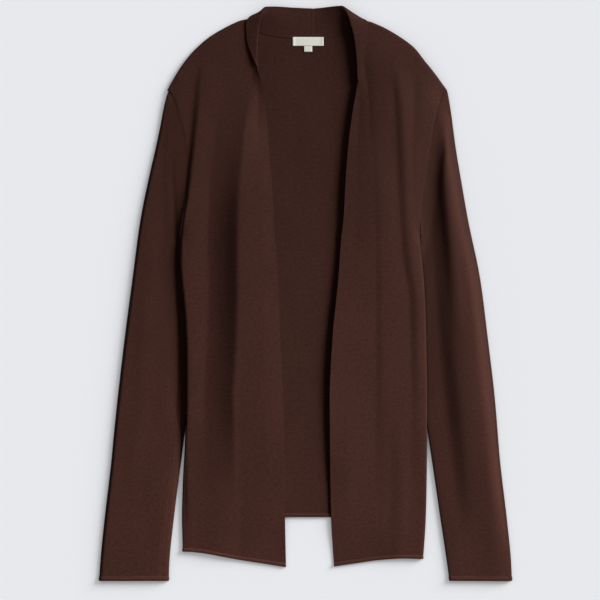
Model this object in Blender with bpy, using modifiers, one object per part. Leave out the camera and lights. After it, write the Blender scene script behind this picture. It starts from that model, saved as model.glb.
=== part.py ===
"""Knit cardigan with an open front and a rolled shawl collar, laid flat with its front up.

Sizes are in millimetres and are scaled to metres where a mesh is made.
Places on the garment, seen from above:
  out  distance from the centre line, towards the garment's own side
  y    distance up the picture from the middle of the garment, towards the neck
  z    height above the surface that it lies on
"left" and "right" are those of the picture. Every panel is a sheet given by a function
point(row, column), half way through the cloth, with a Solidify wall around it.
"""
import math
from collections import namedtuple

import bmesh
import bpy

MM = 0.001
MERGE = 1e-6           # metres

# ---------------------------------------------------------------- driving sizes
CLOTH = 1.5            # wall of the knitted cloth
SEAM_GAP = 0.3         # between two pieces that are sewn together
LYING = CLOTH / 2      # middle of a layer that lies on the surface
RESTING = 2.65         # middle of a layer that lies on another layer
FOLD_REACH = 3.2       # how far a folded side bulges out past its upper layer
NECK_REACH = 1.0       # the same for the shoulder fold where it meets the collar
FOLD_SQUARENESS = 0.5  # power of the folded sides' round section, 1 for a plain ellipse
UNDERARM_Y = 75.0      # height of the underarm in the laid garment
CENTRE_BACK = 10.0     # the centre back seam, right of the picture's centre line
UNDERARM_FADE = 40.0   # length over which the side folds grow below the underarm
ARM_CLEARANCE = 2.0    # from the middle of the body's side to that of the sleeve's cloth
RIM_TILT = 0.7         # how far a sloping cut edge reaches past its own middle
ROW_BOW = 9.0          # how far the last rows of a sleeve keep away from the armhole
UNDERARM_BACK_OFF = 0.9    # of the front's cloth from the end of the armhole
UNDERARM_RISE = 1.3    # of the upper layer over RESTING at both ends of the armhole
END_SHARE = 1 / 6      # share of the armhole next to an end where its edges draw together
RIM_SHARE = 0.6        # share of a front's width, from the base line, with its own height
BREAK_SHARE = 0.4      # where the roll line runs below the underarm, from edge to base line
SLEEVE_RISE = 0.4      # of a sleeve's upper layer towards the armhole
SNUG_FROM = 0.95       # share of a sleeve's length after which it closes on the armhole
BOW_FROM = 0.7         # the same, after which its rows take on the curve of the armhole
SLOPE_STEP = 2.0       # step used to measure the slope of an outline
TURN_STEP = 0.02       # the same along the armhole, as a share of it
BACK_HEM_Y = -290.5    # straight middle of the back hem
BACK_HEM_HALF = 75.0   # half the length of that straight middle
DRAPE_HALF = 105.0     # distance out up to which the fronts hang past the back hem
DRAPE_START = 4.0      # length of a front below the back hem that is still held up by it
HEM_SHARE = 0.118      # part of a front's length that hangs past the back hem
HEM_DRAPE = 34.0       # length over which a front comes down past the back hem
LABEL_SIZE = (40.0, 11.5)
TAB_SIZE = (10.5, 7.5)
LABEL_WALL = 1.0
LABEL_TOP_Y = 333.0
LABEL_X = 3.6

# segments of each sheet
HEM_ROWS = 3           # front hem to just below the back hem
BODY_ROWS = 10         # from there to the underarm
ARM_ROWS = 10          # underarm to shoulder, also around each half of an armhole
COLLAR_ROWS = 6        # neck point to centre back
ROLL = 3               # around a folded side
EDGE_COLUMNS = 2       # free edge to roll line
STAND_COLUMNS = 3      # roll line to base line
PANEL_COLUMNS = 6      # base line to side or armhole
SLEEVE_ROWS = 20
LABEL_STEPS = 4

SIGN = {"left": -1.0, "right": 1.0}
KNIT = (0.048, 0.018, 0.013, 1.0)
LABEL = (0.70, 0.68, 0.60, 1.0)

# ---------------------------------------------------------------- measured tables
Sides = namedtuple("Sides", "y left right")
Hem = namedtuple("Hem", "out left right")
SleeveEdges = namedtuple("SleeveEdges", "y outer_left inner_left outer_right inner_right")
Strip = namedtuple("Strip", "base_out base_y roll_out roll_y roll_z edge_out edge_y edge_z")
Crest = namedtuple("Crest", "y out rise")
Fold = namedtuple("Fold", "towards_centre towards_side crest")

# outline of the folded sides of the body, from the hem up to the underarm
BODY_SIDE = [
    Sides(-347, 158.9, 152.2),
    Sides(-327, 158.8, 153.8),
    Sides(-295, 159.6, 155.8),
    Sides(-250, 158.6, 157.0),
    Sides(-190, 155.4, 157.6),
    Sides(-138, 153.8, 157.8),
    Sides(-73, 153.9, 156.9),
    Sides(-34, 155.6, 156.0),
    Sides(5, 159.0, 154.3),
    Sides(44, 162.3, 151.4),
    Sides(76, 163.0, 150.4),
]
# armhole seam, from the underarm up to the shoulder point
ARMHOLE = [
    Sides(75, 161.6, 149.0),
    Sides(115, 156.4, 150.6),
    Sides(160, 153.9, 157.6),
    Sides(200, 157.5, 163.0),
    Sides(235, 165.2, 170.5),
    Sides(262, 175.8, 180.6),
]
# outline of the shoulder, from the shoulder point up to the collar
SHOULDER = [
    Sides(265, 179.0, 182.8),
    Sides(277.5, 173.3, 173.4),
    Sides(290.5, 165.5, 163.6),
    Sides(306, 155.1, 150.6),
    Sides(322, 140.8, 137.6),
    Sides(337.5, 121.5, 115.6),
    Sides(346, 105.5, 100.0),
    Sides(353, 89.0, 83.0),
    Sides(358, 75.0, 69.0),
]
# free front edge and break line, from the hem up to where the edge starts to stand
FREE_EDGE = [
    Sides(-356, 25.1, 37.3),
    Sides(-290, 26.4, 33.4),
    Sides(-216, 27.4, 32.1),
    Sides(-138, 29.0, 31.4),
    Sides(-60, 32.9, 35.0),
    Sides(18, 35.9, 42.6),
    Sides(90, 40.6, 47.7),
]
BREAK_LINE = [
    Sides(-356, 84.0, 90.0),
    Sides(-138, 83.6, 92.0),
    Sides(18, 82.5, 92.0),
    Sides(90, 81.5, 92.0),
]
# lower edge of the fronts, from the free edge out to the side seam
FRONT_HEM = [
    Hem(25, -355.6, -355.5),
    Hem(40, -353.2, -354.3),
    Hem(55, -350.8, -350.6),
    Hem(80, -346.8, -347.6),
    Hem(105, -342.8, -345.4),
    Hem(130, -339.0, -343.6),
    Hem(145, -337.0, -343.6),
    Hem(160, -335.0, -346.5),
]
# both folded edges of the sleeves, from the cuff up
SLEEVES = [
    SleeveEdges(-373, 268.7, 178.1, 268.7, 187.9),
    SleeveEdges(-346, 266.9, 176.5, 267.4, 184.2),
    SleeveEdges(-294, 261.7, 171.3, 262.2, 176.4),
    SleeveEdges(-216, 252.6, 160.6, 253.1, 165.0),
    SleeveEdges(-180, 249.2, 156.3, 250.2, 159.8),
    SleeveEdges(-138, 244.8, 152.0, 246.6, 154.0),
    SleeveEdges(-60, 235.7, 146.0, 237.5, 146.0),
    SleeveEdges(18, 225.5, 142.0, 227.5, 142.0),
    SleeveEdges(96, 214.9, 140.0, 211.5, 140.0),
    SleeveEdges(148, 204.5, 140.0, 202.4, 140.0),
    SleeveEdges(187, 195.6, 140.0, 195.9, 140.0),
    SleeveEdges(225, 187.0, 140.0, 190.0, 140.0),
    SleeveEdges(258, 181.0, 140.0, 185.6, 140.0),
]
# The strip along the free edge: its base line, its roll line and its free edge, from the
# underarm up the front to the neck point and round to the centre back.
STRIP = {
    "left": [
        Strip(81.5, 75.0, 60.0, 75.0, 8.0, 39.3, 75.0, 6.0),
        Strip(80.5, 160.0, 61.0, 160.0, 8.0, 44.8, 160.0, 6.0),
        Strip(79.0, 212.0, 61.5, 212.0, 7.2, 49.0, 212.0, 6.6),
        Strip(72.0, 254.0, 60.5, 256.0, 7.4, 53.5, 257.0, 9.6),
        Strip(69.0, 279.0, 62.0, 282.0, 8.6, 58.7, 283.0, 12.6),
        Strip(69.2, 291.0, 62.0, 294.0, 9.6, 63.2, 294.5, 13.4),
        Strip(70.0, 303.0, 62.8, 306.0, 10.8, 67.8, 306.0, 12.2),
        Strip(71.5, 329.0, 62.0, 331.0, 11.8, 76.0, 331.0, 9.6),
        Strip(71.9, 352.4, 59.3, 350.0, 11.8, 76.7, 350.5, 9.2),
        Strip(70.2, 349.8, 57.0, 358.8, 11.4, 73.0, 358.0, 8.8),
        Strip(67.3, 344.5, 55.0, 364.7, 10.6, 64.1, 362.7, 8.4),
        Strip(62.1, 340.6, 53.2, 367.6, 8.8, 56.8, 367.6, 9.6),
        Strip(56.3, 337.9, 50.6, 367.6, 6.6, 51.4, 371.8, 8.6),
        Strip(42.0, 334.8, 38.1, 361.0, 3.4, 36.8, 371.6, 4.6),
        Strip(19.9, 332.4, 18.6, 354.0, 1.8, 17.3, 370.6, 2.8),
        Strip(-10.0, 332.0, -10.0, 352.0, 1.6, -10.0, 370.0, 2.6),
    ],
    "right": [
        Strip(92.0, 75.0, 66.0, 75.0, 8.4, 48.6, 75.0, 10.0),
        Strip(89.0, 160.0, 68.0, 160.0, 9.0, 53.0, 160.0, 11.0),
        Strip(83.5, 212.0, 68.5, 212.0, 9.2, 58.0, 212.0, 11.4),
        Strip(82.0, 256.0, 71.5, 257.0, 9.2, 65.0, 258.0, 12.0),
        Strip(79.0, 280.0, 71.0, 282.0, 10.4, 70.3, 283.0, 13.2),
        Strip(76.8, 291.0, 69.0, 293.0, 10.9, 72.6, 293.5, 13.6),
        Strip(74.5, 302.0, 66.8, 304.0, 11.6, 75.2, 304.0, 12.4),
        Strip(71.5, 329.0, 63.5, 330.0, 12.2, 80.0, 331.0, 10.4),
        Strip(69.8, 352.8, 58.4, 350.0, 12.2, 80.5, 351.6, 9.8),
        Strip(69.2, 351.8, 55.4, 359.0, 11.8, 72.4, 356.9, 9.2),
        Strip(64.0, 345.2, 52.4, 366.0, 11.0, 62.0, 363.4, 8.6),
        Strip(58.1, 341.3, 49.4, 368.4, 9.0, 53.4, 369.6, 10.0),
        Strip(51.0, 338.3, 46.0, 368.4, 6.8, 46.6, 373.0, 9.0),
        Strip(37.3, 334.8, 33.4, 361.0, 3.4, 32.1, 372.0, 4.8),
        Strip(20.4, 332.3, 19.0, 354.0, 1.8, 18.5, 370.6, 2.8),
        Strip(10.0, 332.0, 10.0, 352.0, 1.6, 10.0, 370.0, 2.6),
    ],
}
NECK_POINT = 8         # row of STRIP where the shoulder fold meets the collar
NECK_SEAM = 9          # row of STRIP where the neck seam starts
EDGE_LIFTS = (1, 3)    # rows of STRIP between which its own heights take over

# how far the fronts stand off the back, apart from their folds
LOFT = [
    Sides(-330, 0.0, 0.0),
    Sides(-260, 0.2, 0.2),
    Sides(-180, 1.0, 0.8),
    Sides(-60, 2.2, 1.8),
    Sides(80, 2.4, 2.2),
    Sides(200, 2.0, 2.0),
    Sides(262, 1.2, 1.2),
    Sides(355, 1.0, 1.0),
]
FRONT_FOLDS = {
    "left": [
        Fold(62, 9, [
            Crest(245, 80, 0.0), Crest(205, 81, 2.6), Crest(160, 81, 4.2), Crest(20, 82.5, 4.6),
            Crest(-110, 84, 4.2), Crest(-190, 86, 2.2), Crest(-255, 87, 0.0),
        ]),
        Fold(50, 8, [
            Crest(300, 128, 0.0), Crest(262, 133, 2.2), Crest(200, 140, 3.0), Crest(115, 147, 2.4),
            Crest(20, 152, 1.4), Crest(-150, 146, 1.0), Crest(-240, 148, 0.0),
        ]),
    ],
    "right": [
        Fold(60, 52, [
            Crest(300, 72, 0.0), Crest(258, 65, 6.4), Crest(160, 53, 6.6), Crest(18, 42.6, 5.2),
            Crest(-138, 31.4, 2.6), Crest(-216, 32, 1.2), Crest(-300, 34, 0.0),
        ]),
        Fold(17, 9, [
            Crest(300, 124, 0.0), Crest(262, 129, 3.0), Crest(200, 133, 3.2), Crest(120, 140, 2.6),
            Crest(30, 146, 1.8), Crest(-140, 149, 1.0), Crest(-240, 148, 0.0),
        ]),
    ],
}
# how high the upper layer of a sleeve lies over its lower layer, apart from its folds
SLEEVE_LOFT = [
    Sides(-373, 0.3, 0.3),
    Sides(-300, 0.9, 0.8),
    Sides(-100, 1.6, 1.2),
    Sides(100, 1.6, 1.0),
    Sides(262, 0.8, 0.6),
]
SLEEVE_FOLDS = {
    "left": [
        Fold(30, 8, [
            Crest(262, 172, 0.0), Crest(190, 184, 0.8), Crest(60, 186, 1.0), Crest(-138, 202, 0.8),
            Crest(-300, 215, 0.0),
        ]),
    ],
    "right": [
        Fold(9, 26, [
            Crest(250, 182, 0.0), Crest(215, 183, 2.0), Crest(150, 184, 3.4), Crest(95, 189, 3.6),
            Crest(18, 198, 3.4), Crest(-60, 207, 2.8), Crest(-138, 216, 2.2), Crest(-256, 233, 0.8),
            Crest(-330, 240, 0.0),
        ]),
    ],
}


# ---------------------------------------------------------------- reading the tables
def smooth_read(keys, values, at):
    """Value at a key, on a smooth curve through the pairs that never overshoots them."""
    if at <= keys[0]:
        return values[0]
    if at >= keys[-1]:
        return values[-1]
    i = max(k for k in range(len(keys) - 1) if keys[k] <= at)
    rises = [(values[k + 1] - values[k]) / (keys[k + 1] - keys[k]) for k in range(len(keys) - 1)]

    def slope(k):
        if k == 0 or k == len(keys) - 1:
            return rises[min(k, len(rises) - 1)]
        before, after = rises[k - 1], rises[k]
        return 0.0 if before * after <= 0 else 2 * before * after / (before + after)

    span = keys[i + 1] - keys[i]
    t = (at - keys[i]) / span
    lower, upper = slope(i) * span, slope(i + 1) * span
    return ((2 * t**3 - 3 * t**2 + 1) * values[i] + (t**3 - 2 * t**2 + t) * lower
            + (3 * t**2 - 2 * t**3) * values[i + 1] + (t**3 - t**2) * upper)


def read(table, column, at):
    """One column of a table at a value of the table's first column."""
    rows = sorted(table, key=lambda row: row[0])
    return smooth_read([row[0] for row in rows], [getattr(row, column) for row in rows], at)


def station(table, column, place):
    """One column of a table at a place counted in rows, such as 2.5 half way from row 2 to 3."""
    return smooth_read(list(range(len(table))), [getattr(row, column) for row in table], place)


def mix(a, b, t):
    return a + (b - a) * t


def ease(t):
    t = min(max(t, 0.0), 1.0)
    return t * t * (3 - 2 * t)


# ---------------------------------------------------------------- heights
def fold_height(folds, out, y):
    """Height that the soft folds add at a place: each is a ridge, steeper on one side."""
    total = 0.0
    for fold in folds:
        away = out - read(fold.crest, "out", y)
        reach = fold.towards_side if away > 0 else fold.towards_centre
        t = min(abs(away) / reach, 1.0)
        total += read(fold.crest, "rise", y) * (1 - t * t) ** 2
    return total


def side_hem(side):
    """Lower end of a side seam."""
    out = BODY_SIDE[0]._asdict()[side]
    return out, read(FRONT_HEM, side, out)


def back_hem_y(out, side):
    """Lower edge of the back: straight in the middle, then down to the side seams."""
    end_out, end_y = side_hem(side)
    t = (abs(out) - BACK_HEM_HALF) / (end_out - BACK_HEM_HALF)
    return mix(BACK_HEM_Y, end_y, ease(t) if t > 0 else 0.0)


def front_height(side, out, y):
    """Middle of a front's cloth, above the surface."""
    past_hem = back_hem_y(out, side) + DRAPE_START - y
    support = mix(RESTING, LYING, ease((past_hem - HEM_DRAPE / 2) / (HEM_DRAPE / 2)))
    if abs(out) > DRAPE_HALF:
        support = RESTING
    return support + read(LOFT, side, y) + fold_height(FRONT_FOLDS[side], out, y)


# ---------------------------------------------------------------- outlines
def shoulder_frame(side, out):
    """Place on the shoulder outline at a distance out, and its normal, away from the garment."""
    rows = sorted(SHOULDER, key=lambda row: getattr(row, side))
    keys = [getattr(row, side) for row in rows]
    heights = [row.y for row in rows]
    y = smooth_read(keys, heights, out)
    rise = (smooth_read(keys, heights, out + SLOPE_STEP)
            - smooth_read(keys, heights, out - SLOPE_STEP))
    slope = rise / (2 * SLOPE_STEP)
    length = math.hypot(slope, 1)
    return y, -slope / length, 1 / length


def armhole_point(side, t):
    """Place on the armhole seam, t = 0 at the underarm and 1 at the shoulder point."""
    y = mix(ARMHOLE[0].y, ARMHOLE[-1].y, t)
    return read(ARMHOLE, side, y), y


def armhole_normal(side, t):
    """Direction across the armhole seam, from the body to the sleeve."""
    out_0, y_0 = armhole_point(side, max(t - TURN_STEP, 0))
    out_1, y_1 = armhole_point(side, min(t + TURN_STEP, 1))
    length = math.hypot(out_1 - out_0, y_1 - y_0)
    return (y_1 - y_0) / length, -(out_1 - out_0) / length


def side_bulge(y):
    """How far the folded side stands out past its upper layer: nothing at the underarm."""
    return FOLD_REACH * ease((UNDERARM_Y - y) / UNDERARM_FADE)


def roll_over(out, y, top, normal, bulge, turn):
    """Point on a folded side: turn = 0 where the upper layer ends and 1 on the surface."""
    angle = math.pi * (0.5 - turn)
    reach = bulge * max(math.cos(angle), 0.0) ** FOLD_SQUARENESS
    tall = math.copysign(abs(math.sin(angle)) ** FOLD_SQUARENESS, math.sin(angle))
    tall = mix(1 - 2 * turn, tall, bulge / FOLD_REACH)
    z = (top + LYING) / 2 + (top - LYING) / 2 * tall
    return out + normal[0] * reach, y + normal[1] * reach, z


# ---------------------------------------------------------------- fronts with their collar
def side_line(side, y):
    """Where the upper layer of a front goes over into the side fold."""
    underarm = armhole_point(side, 0)[0] - UNDERARM_BACK_OFF
    return mix(underarm, read(BODY_SIDE, side, y) - FOLD_REACH,
               ease((UNDERARM_Y - y) / UNDERARM_FADE))


def front_rim(side, r):
    """Where the upper layer of a front ends: side fold (r <= 1) or armhole (r <= 2)."""
    if r <= 1:
        y = mix(side_hem(side)[1], UNDERARM_Y, r)
        return side_line(side, y), y
    out, y = armhole_point(side, r - 1)
    across = armhole_normal(side, r - 1)
    back_off = mix(UNDERARM_BACK_OFF, SEAM_GAP / 2, ease((r - 1) / END_SHARE))
    return out - across[0] * back_off, y - across[1] * back_off


def strip_place(side, r):
    """Row of the strip's table for a row of the front above the underarm."""
    if r <= 2:
        return (r - 1) * NECK_POINT
    if r <= 3:
        return mix(NECK_POINT, NECK_SEAM, r - 2)
    return mix(NECK_SEAM, len(STRIP[side]) - 1, r - 3)


def base_point(side, r):
    """Base line of the strip: break line below, then the foot of the collar and its neck seam."""
    if r <= 1:
        out = read(BREAK_LINE, side, mix(BREAK_LINE[0].y, UNDERARM_Y, r))
        y = mix(read(FRONT_HEM, side, out), UNDERARM_Y, r)
        return out, y, front_height(side, out, y)
    place = strip_place(side, r)
    out = station(STRIP[side], "base_out", place)
    y = station(STRIP[side], "base_y", place)
    if r <= 2:
        return out, y, front_height(side, out, y)
    if r <= 3:
        _, *normal = shoulder_frame(side, out)
        return roll_over(out, y, front_height(side, out, y), normal, NECK_REACH, r - 2)
    return out, y, LYING


def edge_and_roll(side, r):
    """Free edge and roll line of the strip at a row."""
    if r <= 1:
        out = read(FREE_EDGE, side, mix(FREE_EDGE[0].y, UNDERARM_Y, r))
        y = mix(read(FRONT_HEM, side, out), UNDERARM_Y, r)
        base_out, base_y, _ = base_point(side, r)
        middle = mix(out, base_out, BREAK_SHARE), mix(y, base_y, BREAK_SHARE)
        return (out, y, front_height(side, out, y)), (*middle, front_height(side, *middle))
    table, place = STRIP[side], strip_place(side, r)
    lifted = ease((place - EDGE_LIFTS[0]) / (EDGE_LIFTS[1] - EDGE_LIFTS[0]))
    points = []
    for name in ("edge", "roll"):
        out, y, z = (station(table, f"{name}_{axis}", place) for axis in ("out", "y", "z"))
        points.append((out, y, mix(front_height(side, out, y), z, lifted)))
    return points


def bend(start, middle, end, t):
    """Smooth curve start - middle - end for t = 0 to 2, level where it ends."""
    across = [b - a for a, b in zip(start, end)]
    size = math.hypot(*across)
    along = [b - a for a, b in zip(middle, end)]
    level = math.hypot(*along[:2])
    a, b = (start, middle) if t <= 1 else (middle, end)
    reach = math.dist(a, b)
    turning = [d / size * reach for d in across]
    if t <= 1:
        ta, tb = [q - p for p, q in zip(a, b)], turning
    else:
        t -= 1
        ta, tb = turning, (along[0] / level * reach, along[1] / level * reach, 0.0)
    return tuple((2 * t**3 - 3 * t**2 + 1) * pa + (t**3 - 2 * t**2 + t) * va
                 + (3 * t**2 - 2 * t**3) * pb + (t**3 - t**2) * vb
                 for pa, va, pb, vb in zip(a, ta, b, tb))


def front_point(side, r, c):
    """Point of a front.

    r: 0 hem, 1 underarm, 2 shoulder fold, 3 shoulder seam and neck seam, 4 centre back
    c: 0 free edge, 1 roll line, 2 base line, 3 side fold or armhole, 4 side seam
    """
    base = base_point(side, r)
    if c <= 2:
        edge, roll = edge_and_roll(side, r)
        return bend(edge, roll, base, c)
    rim = front_rim(side, min(r, 2))
    t = min(c, 3) - 2
    start = base_point(side, min(r, 2))
    out = mix(start[0], rim[0], t)
    if r <= 1:
        y = mix(mix(read(FRONT_HEM, side, out), UNDERARM_Y, r), rim[1], t * t)
    else:
        y = mix(start[1], rim[1], t) + shoulder_lean(side, t) * ease(min(r, 2) - 1)
    top = rim_height(side, out, y, t, r)
    if c > 3:
        return roll_over(rim[0], rim[1], top, (1.0, 0.0), side_bulge(rim[1]), c - 3)
    if r > 2:
        _, *normal = shoulder_frame(side, out)
        bulge = mix(NECK_REACH, FOLD_REACH, ease(3 * t))
        return roll_over(out, y, top, normal, bulge, r - 2)
    return out, y, top


def shoulder_lean(side, t):
    """How far the shoulder fold rises above the straight line between its two ends."""
    ends = base_point(side, 2), front_rim(side, 2)

    def below_outline(out):
        ridge, _, rise = shoulder_frame(side, out)
        return ridge - FOLD_REACH * rise

    curve = below_outline(mix(ends[0][0], ends[1][0], t)) - mix(ends[0][1], ends[1][1], t)
    offsets = [below_outline(out) - y for out, y, *_ in ends]
    return curve - mix(*offsets, t)


def rim_height(side, out, y, t, r):
    """Height of the front, which comes down to the armhole's two ends."""
    if r > 1:
        from_end = min(r - 1, max(2 - r, 0.0))
    else:
        from_end = 1 - r
    near_end = ease(1 - from_end / END_SHARE) * ease((t - RIM_SHARE) / (1 - RIM_SHARE))
    return mix(front_height(side, out, y), RESTING + UNDERARM_RISE, near_end)


# ---------------------------------------------------------------- back
def back_rim(side, r):
    """Outer edge of the back: side seam (r <= 1), then armhole."""
    out, y = front_rim(side, r)
    if r <= 1:
        fade = ease((UNDERARM_Y - y) / UNDERARM_FADE)
        return out - SEAM_GAP - mix(CLOTH / 2, RIM_TILT, fade), y
    return out - (CLOTH / 2 + SEAM_GAP) * ease(1 - (r - 1) / END_SHARE), y


def back_top(side, c):
    """Upper edge of the back: neck seam for c = 0 to 1, shoulder seam for 1 to 2."""
    out, y, _ = front_point(side, 3, c + 1) if c > 1 else base_point(side, 4 - c)
    ways = []
    if c <= 1:
        roll = edge_and_roll(side, 4 - c)[1]
        size = math.dist((out, y), roll[:2])
        ways.append(((out - roll[0]) / size, (y - roll[1]) / size))
    if c >= 1:
        _, *normal = shoulder_frame(side, out)
        ways.append((-normal[0], -normal[1]))
    way = [sum(parts) for parts in zip(*ways)]
    back_off = len(ways) * (SEAM_GAP + RIM_TILT) / math.hypot(*way) ** 2
    return out + way[0] * back_off, y + way[1] * back_off


def back_point(side, r, c):
    """Point of the back: r as on the front, up to 2; c: 0 centre back, 1 neck point, 2 rim."""
    top_out, top_y = back_top(side, c)
    rim_out, rim_y = back_rim(side, r)
    full = back_top(side, 2)
    centre = -CENTRE_BACK if side == "left" else CENTRE_BACK
    share = (top_out - centre) / (full[0] - centre)
    out = mix(centre, rim_out, share)
    if r <= 1:
        y = mix(back_hem_y(out, side), UNDERARM_Y, r)
    else:
        y = rim_y + (top_y - full[1]) * ease(r - 1)
    if r >= 2:
        out = top_out
    return out, y, LYING


# ---------------------------------------------------------------- sleeves
def sleeve_rows(side, v):
    """Ends of a row of the sleeve, v = 0 at the cuff and 1 at the armhole."""
    cuff = SLEEVES[0].y
    outer_y = mix(cuff, ARMHOLE[-1].y, v)
    inner_y = mix(cuff, ARMHOLE[0].y, v)
    outer = read(SLEEVES, f"outer_{side}", outer_y)
    body = side_line(side, inner_y) + side_bulge(inner_y)
    inner = max(read(SLEEVES, f"inner_{side}", inner_y), body + ARM_CLEARANCE)
    return outer, outer_y, inner, inner_y


def sleeve_fold_way(side, v):
    """Direction in which the outer fold of a sleeve bulges."""
    _, *shoulder = shoulder_frame(side, front_rim(side, 2)[0])
    near = ease((v - 1) / END_SHARE + 1)
    way = [mix(a, b, near) for a, b in zip((1.0, 0.1), shoulder)]
    size = math.hypot(*way)
    return way[0] / size, way[1] / size


def sleeve_top_height(side, v, s, out, y):
    """Middle of the sleeve's upper layer: a low flat tube with its folds."""
    crown = math.sqrt(4 * s * (1 - s))
    height = RESTING + SLEEVE_RISE * v + read(SLEEVE_LOFT, side, y) * crown
    height += fold_height(SLEEVE_FOLDS[side], out, y) * min(1.0, s / END_SHARE, (1 - s) / END_SHARE)
    seam = front_point(side, 2 - s, 3)[2]
    return mix(height, seam, ease(1 - (1 - v) / (2 * (1 - SNUG_FROM))))


def sleeve_point(side, v, ring):
    """Point of a sleeve: v along it, ring 0-1 upper layer from outer to inner edge,
    1-2 inner fold, 2-3 lower layer back to the outer edge, 3-4 outer fold."""
    outer, outer_y, inner, inner_y = sleeve_rows(side, v)
    way = sleeve_fold_way(side, v)
    inner_bulge = FOLD_REACH * ease((1 - v) / (2 * (1 - SNUG_FROM)))
    near_seam = ease((v - BOW_FROM) / (1 - BOW_FROM))
    keep_off = ROW_BOW * near_seam * ease((1 - v) / (1 - SNUG_FROM))
    start = (outer - way[0] * FOLD_REACH, outer_y - way[1] * FOLD_REACH)
    end = (inner + inner_bulge, inner_y)
    seam_start, seam_end = armhole_point(side, 1), armhole_point(side, 0)

    def layer(s):
        place = [mix(a, b, s) for a, b in zip(start, end)]
        seam = armhole_point(side, 1 - s)
        across = armhole_normal(side, 1 - s)
        chord = [mix(a, b, s) for a, b in zip(seam_start, seam_end)]
        off = mix(SEAM_GAP, 1.0, ease(1 - (1 - s) / END_SHARE))
        bowed = [p + q - r for p, q, r in zip(place, seam, chord)]
        target = [q + a * off for q, a in zip(seam, across)]
        snug = ease((v - SNUG_FROM) / (1 - SNUG_FROM))
        mixed = [mix(p, b, near_seam) for p, b in zip(place, bowed)]
        mixed[0] += keep_off * 4 * s * (1 - s)
        return tuple(mix(m, q, snug) for m, q in zip(mixed, target))

    if ring <= 1:
        out, y = layer(ring)
        return out, y, sleeve_top_height(side, v, ring, out, y)
    if ring <= 2:
        out, y = layer(1)
        top = sleeve_top_height(side, v, 1, out, y)
        return roll_over(out, y, top, (-1.0, 0.0), inner_bulge, ring - 1)
    if ring <= 3:
        out, y = layer(3 - ring)
        return out, y, LYING
    out, y = layer(0)
    top = sleeve_top_height(side, v, 0, out, y)
    return roll_over(out, y, top, way, FOLD_REACH, 4 - ring)


# ---------------------------------------------------------------- labels
def label_point(u, w, size, top_y):
    """Point of a flat label on the back, made from the back's own height, moved out."""
    x = LABEL_X + size[0] * (u - 0.5)
    y = top_y - size[1] * w
    return x, y, CLOTH + SEAM_GAP + LABEL_WALL / 2


# ---------------------------------------------------------------- meshes
def material(name, colour, roughness):
    made = bpy.data.materials.new(name)
    made.use_nodes = True
    shader = made.node_tree.nodes["Principled BSDF"]
    shader.inputs["Base Color"].default_value = colour
    shader.inputs["Roughness"].default_value = roughness
    shader.inputs["Metallic"].default_value = 0.0
    return made


def spread(*parts):
    """Row values made of stretches: each part is (start, end, segments)."""
    values = [parts[0][0]]
    for start, end, segments in parts:
        values += [mix(start, end, k / segments) for k in range(1, segments + 1)]
    return values


def sheet(name, side, rows, columns, point, wall, finish, keep=None, closed=False):
    """A grid of cloth with each vertex moved to its point, thickened by Solidify."""
    mesh = bpy.data.meshes.new(name)
    bm = bmesh.new()
    across, along = len(columns) - 1, len(rows) - 1
    bmesh.ops.create_grid(bm, x_segments=across, y_segments=along, size=0.5)
    outside = []
    for vertex in bm.verts:
        r = rows[round((vertex.co.y + 0.5) * along)]
        c = columns[round((vertex.co.x + 0.5) * across)]
        if keep and not keep(r, c):
            outside.append(vertex)
            continue
        out, y, z = point(r, c)
        vertex.co = (SIGN[side] * out * MM, y * MM, z * MM)
    bmesh.ops.delete(bm, geom=outside, context="VERTS")
    if closed:
        bmesh.ops.remove_doubles(bm, verts=bm.verts, dist=MERGE)
    bmesh.ops.recalc_face_normals(bm, faces=bm.faces)
    bm.to_mesh(mesh)
    bm.free()
    for polygon in mesh.polygons:
        polygon.use_smooth = True
    mesh.materials.append(finish)
    piece = bpy.data.objects.new(name, mesh)
    solid = piece.modifiers.new("cloth wall", "SOLIDIFY")
    solid.thickness = wall * MM
    solid.offset = 0.0
    PARTS.objects.link(piece)
    return piece


BODY = spread((0, HEM_SHARE, HEM_ROWS), (HEM_SHARE, 1, BODY_ROWS))


def make_front(side, finish):
    rows = BODY + spread((1, 2, ARM_ROWS), (2, 3, ROLL), (3, 4, COLLAR_ROWS))[1:]
    columns = spread((0, 1, EDGE_COLUMNS), (1, 2, STAND_COLUMNS), (2, 3, PANEL_COLUMNS),
                     (3, 4, ROLL))

    def keep(r, c):
        return (c <= 3 or r <= 1) and (r <= 3 or c <= 2)

    def point(r, c):
        out, y, z = front_point(side, r, c)
        return out + SEAM_GAP / 2 * max(r - 3, 0), y, z

    return sheet(f"front_{side}", side, rows, columns, point, CLOTH, finish, keep)


def make_back(finish):
    rows = BODY + spread((1, 2, ARM_ROWS))[1:]
    half = spread((0, 1, COLLAR_ROWS), (1, 2, PANEL_COLUMNS))
    columns = [-c for c in reversed(half[1:])] + half

    def point(r, c):
        side = "right" if c >= 0 else "left"
        out, y, z = back_point(side, r, abs(c))
        return SIGN[side] * out, y, z

    return sheet("back", "right", rows, columns, point, CLOTH, finish)


def make_sleeve(side, finish):
    rows = spread((0, 1, SLEEVE_ROWS))
    ring = spread((0, 1, ARM_ROWS), (1, 2, ROLL), (2, 3, ARM_ROWS), (3, 4, ROLL))
    return sheet(f"sleeve_{side}", side, rows, ring,
                 lambda v, k: sleeve_point(side, v, k), CLOTH, finish, closed=True)


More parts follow.
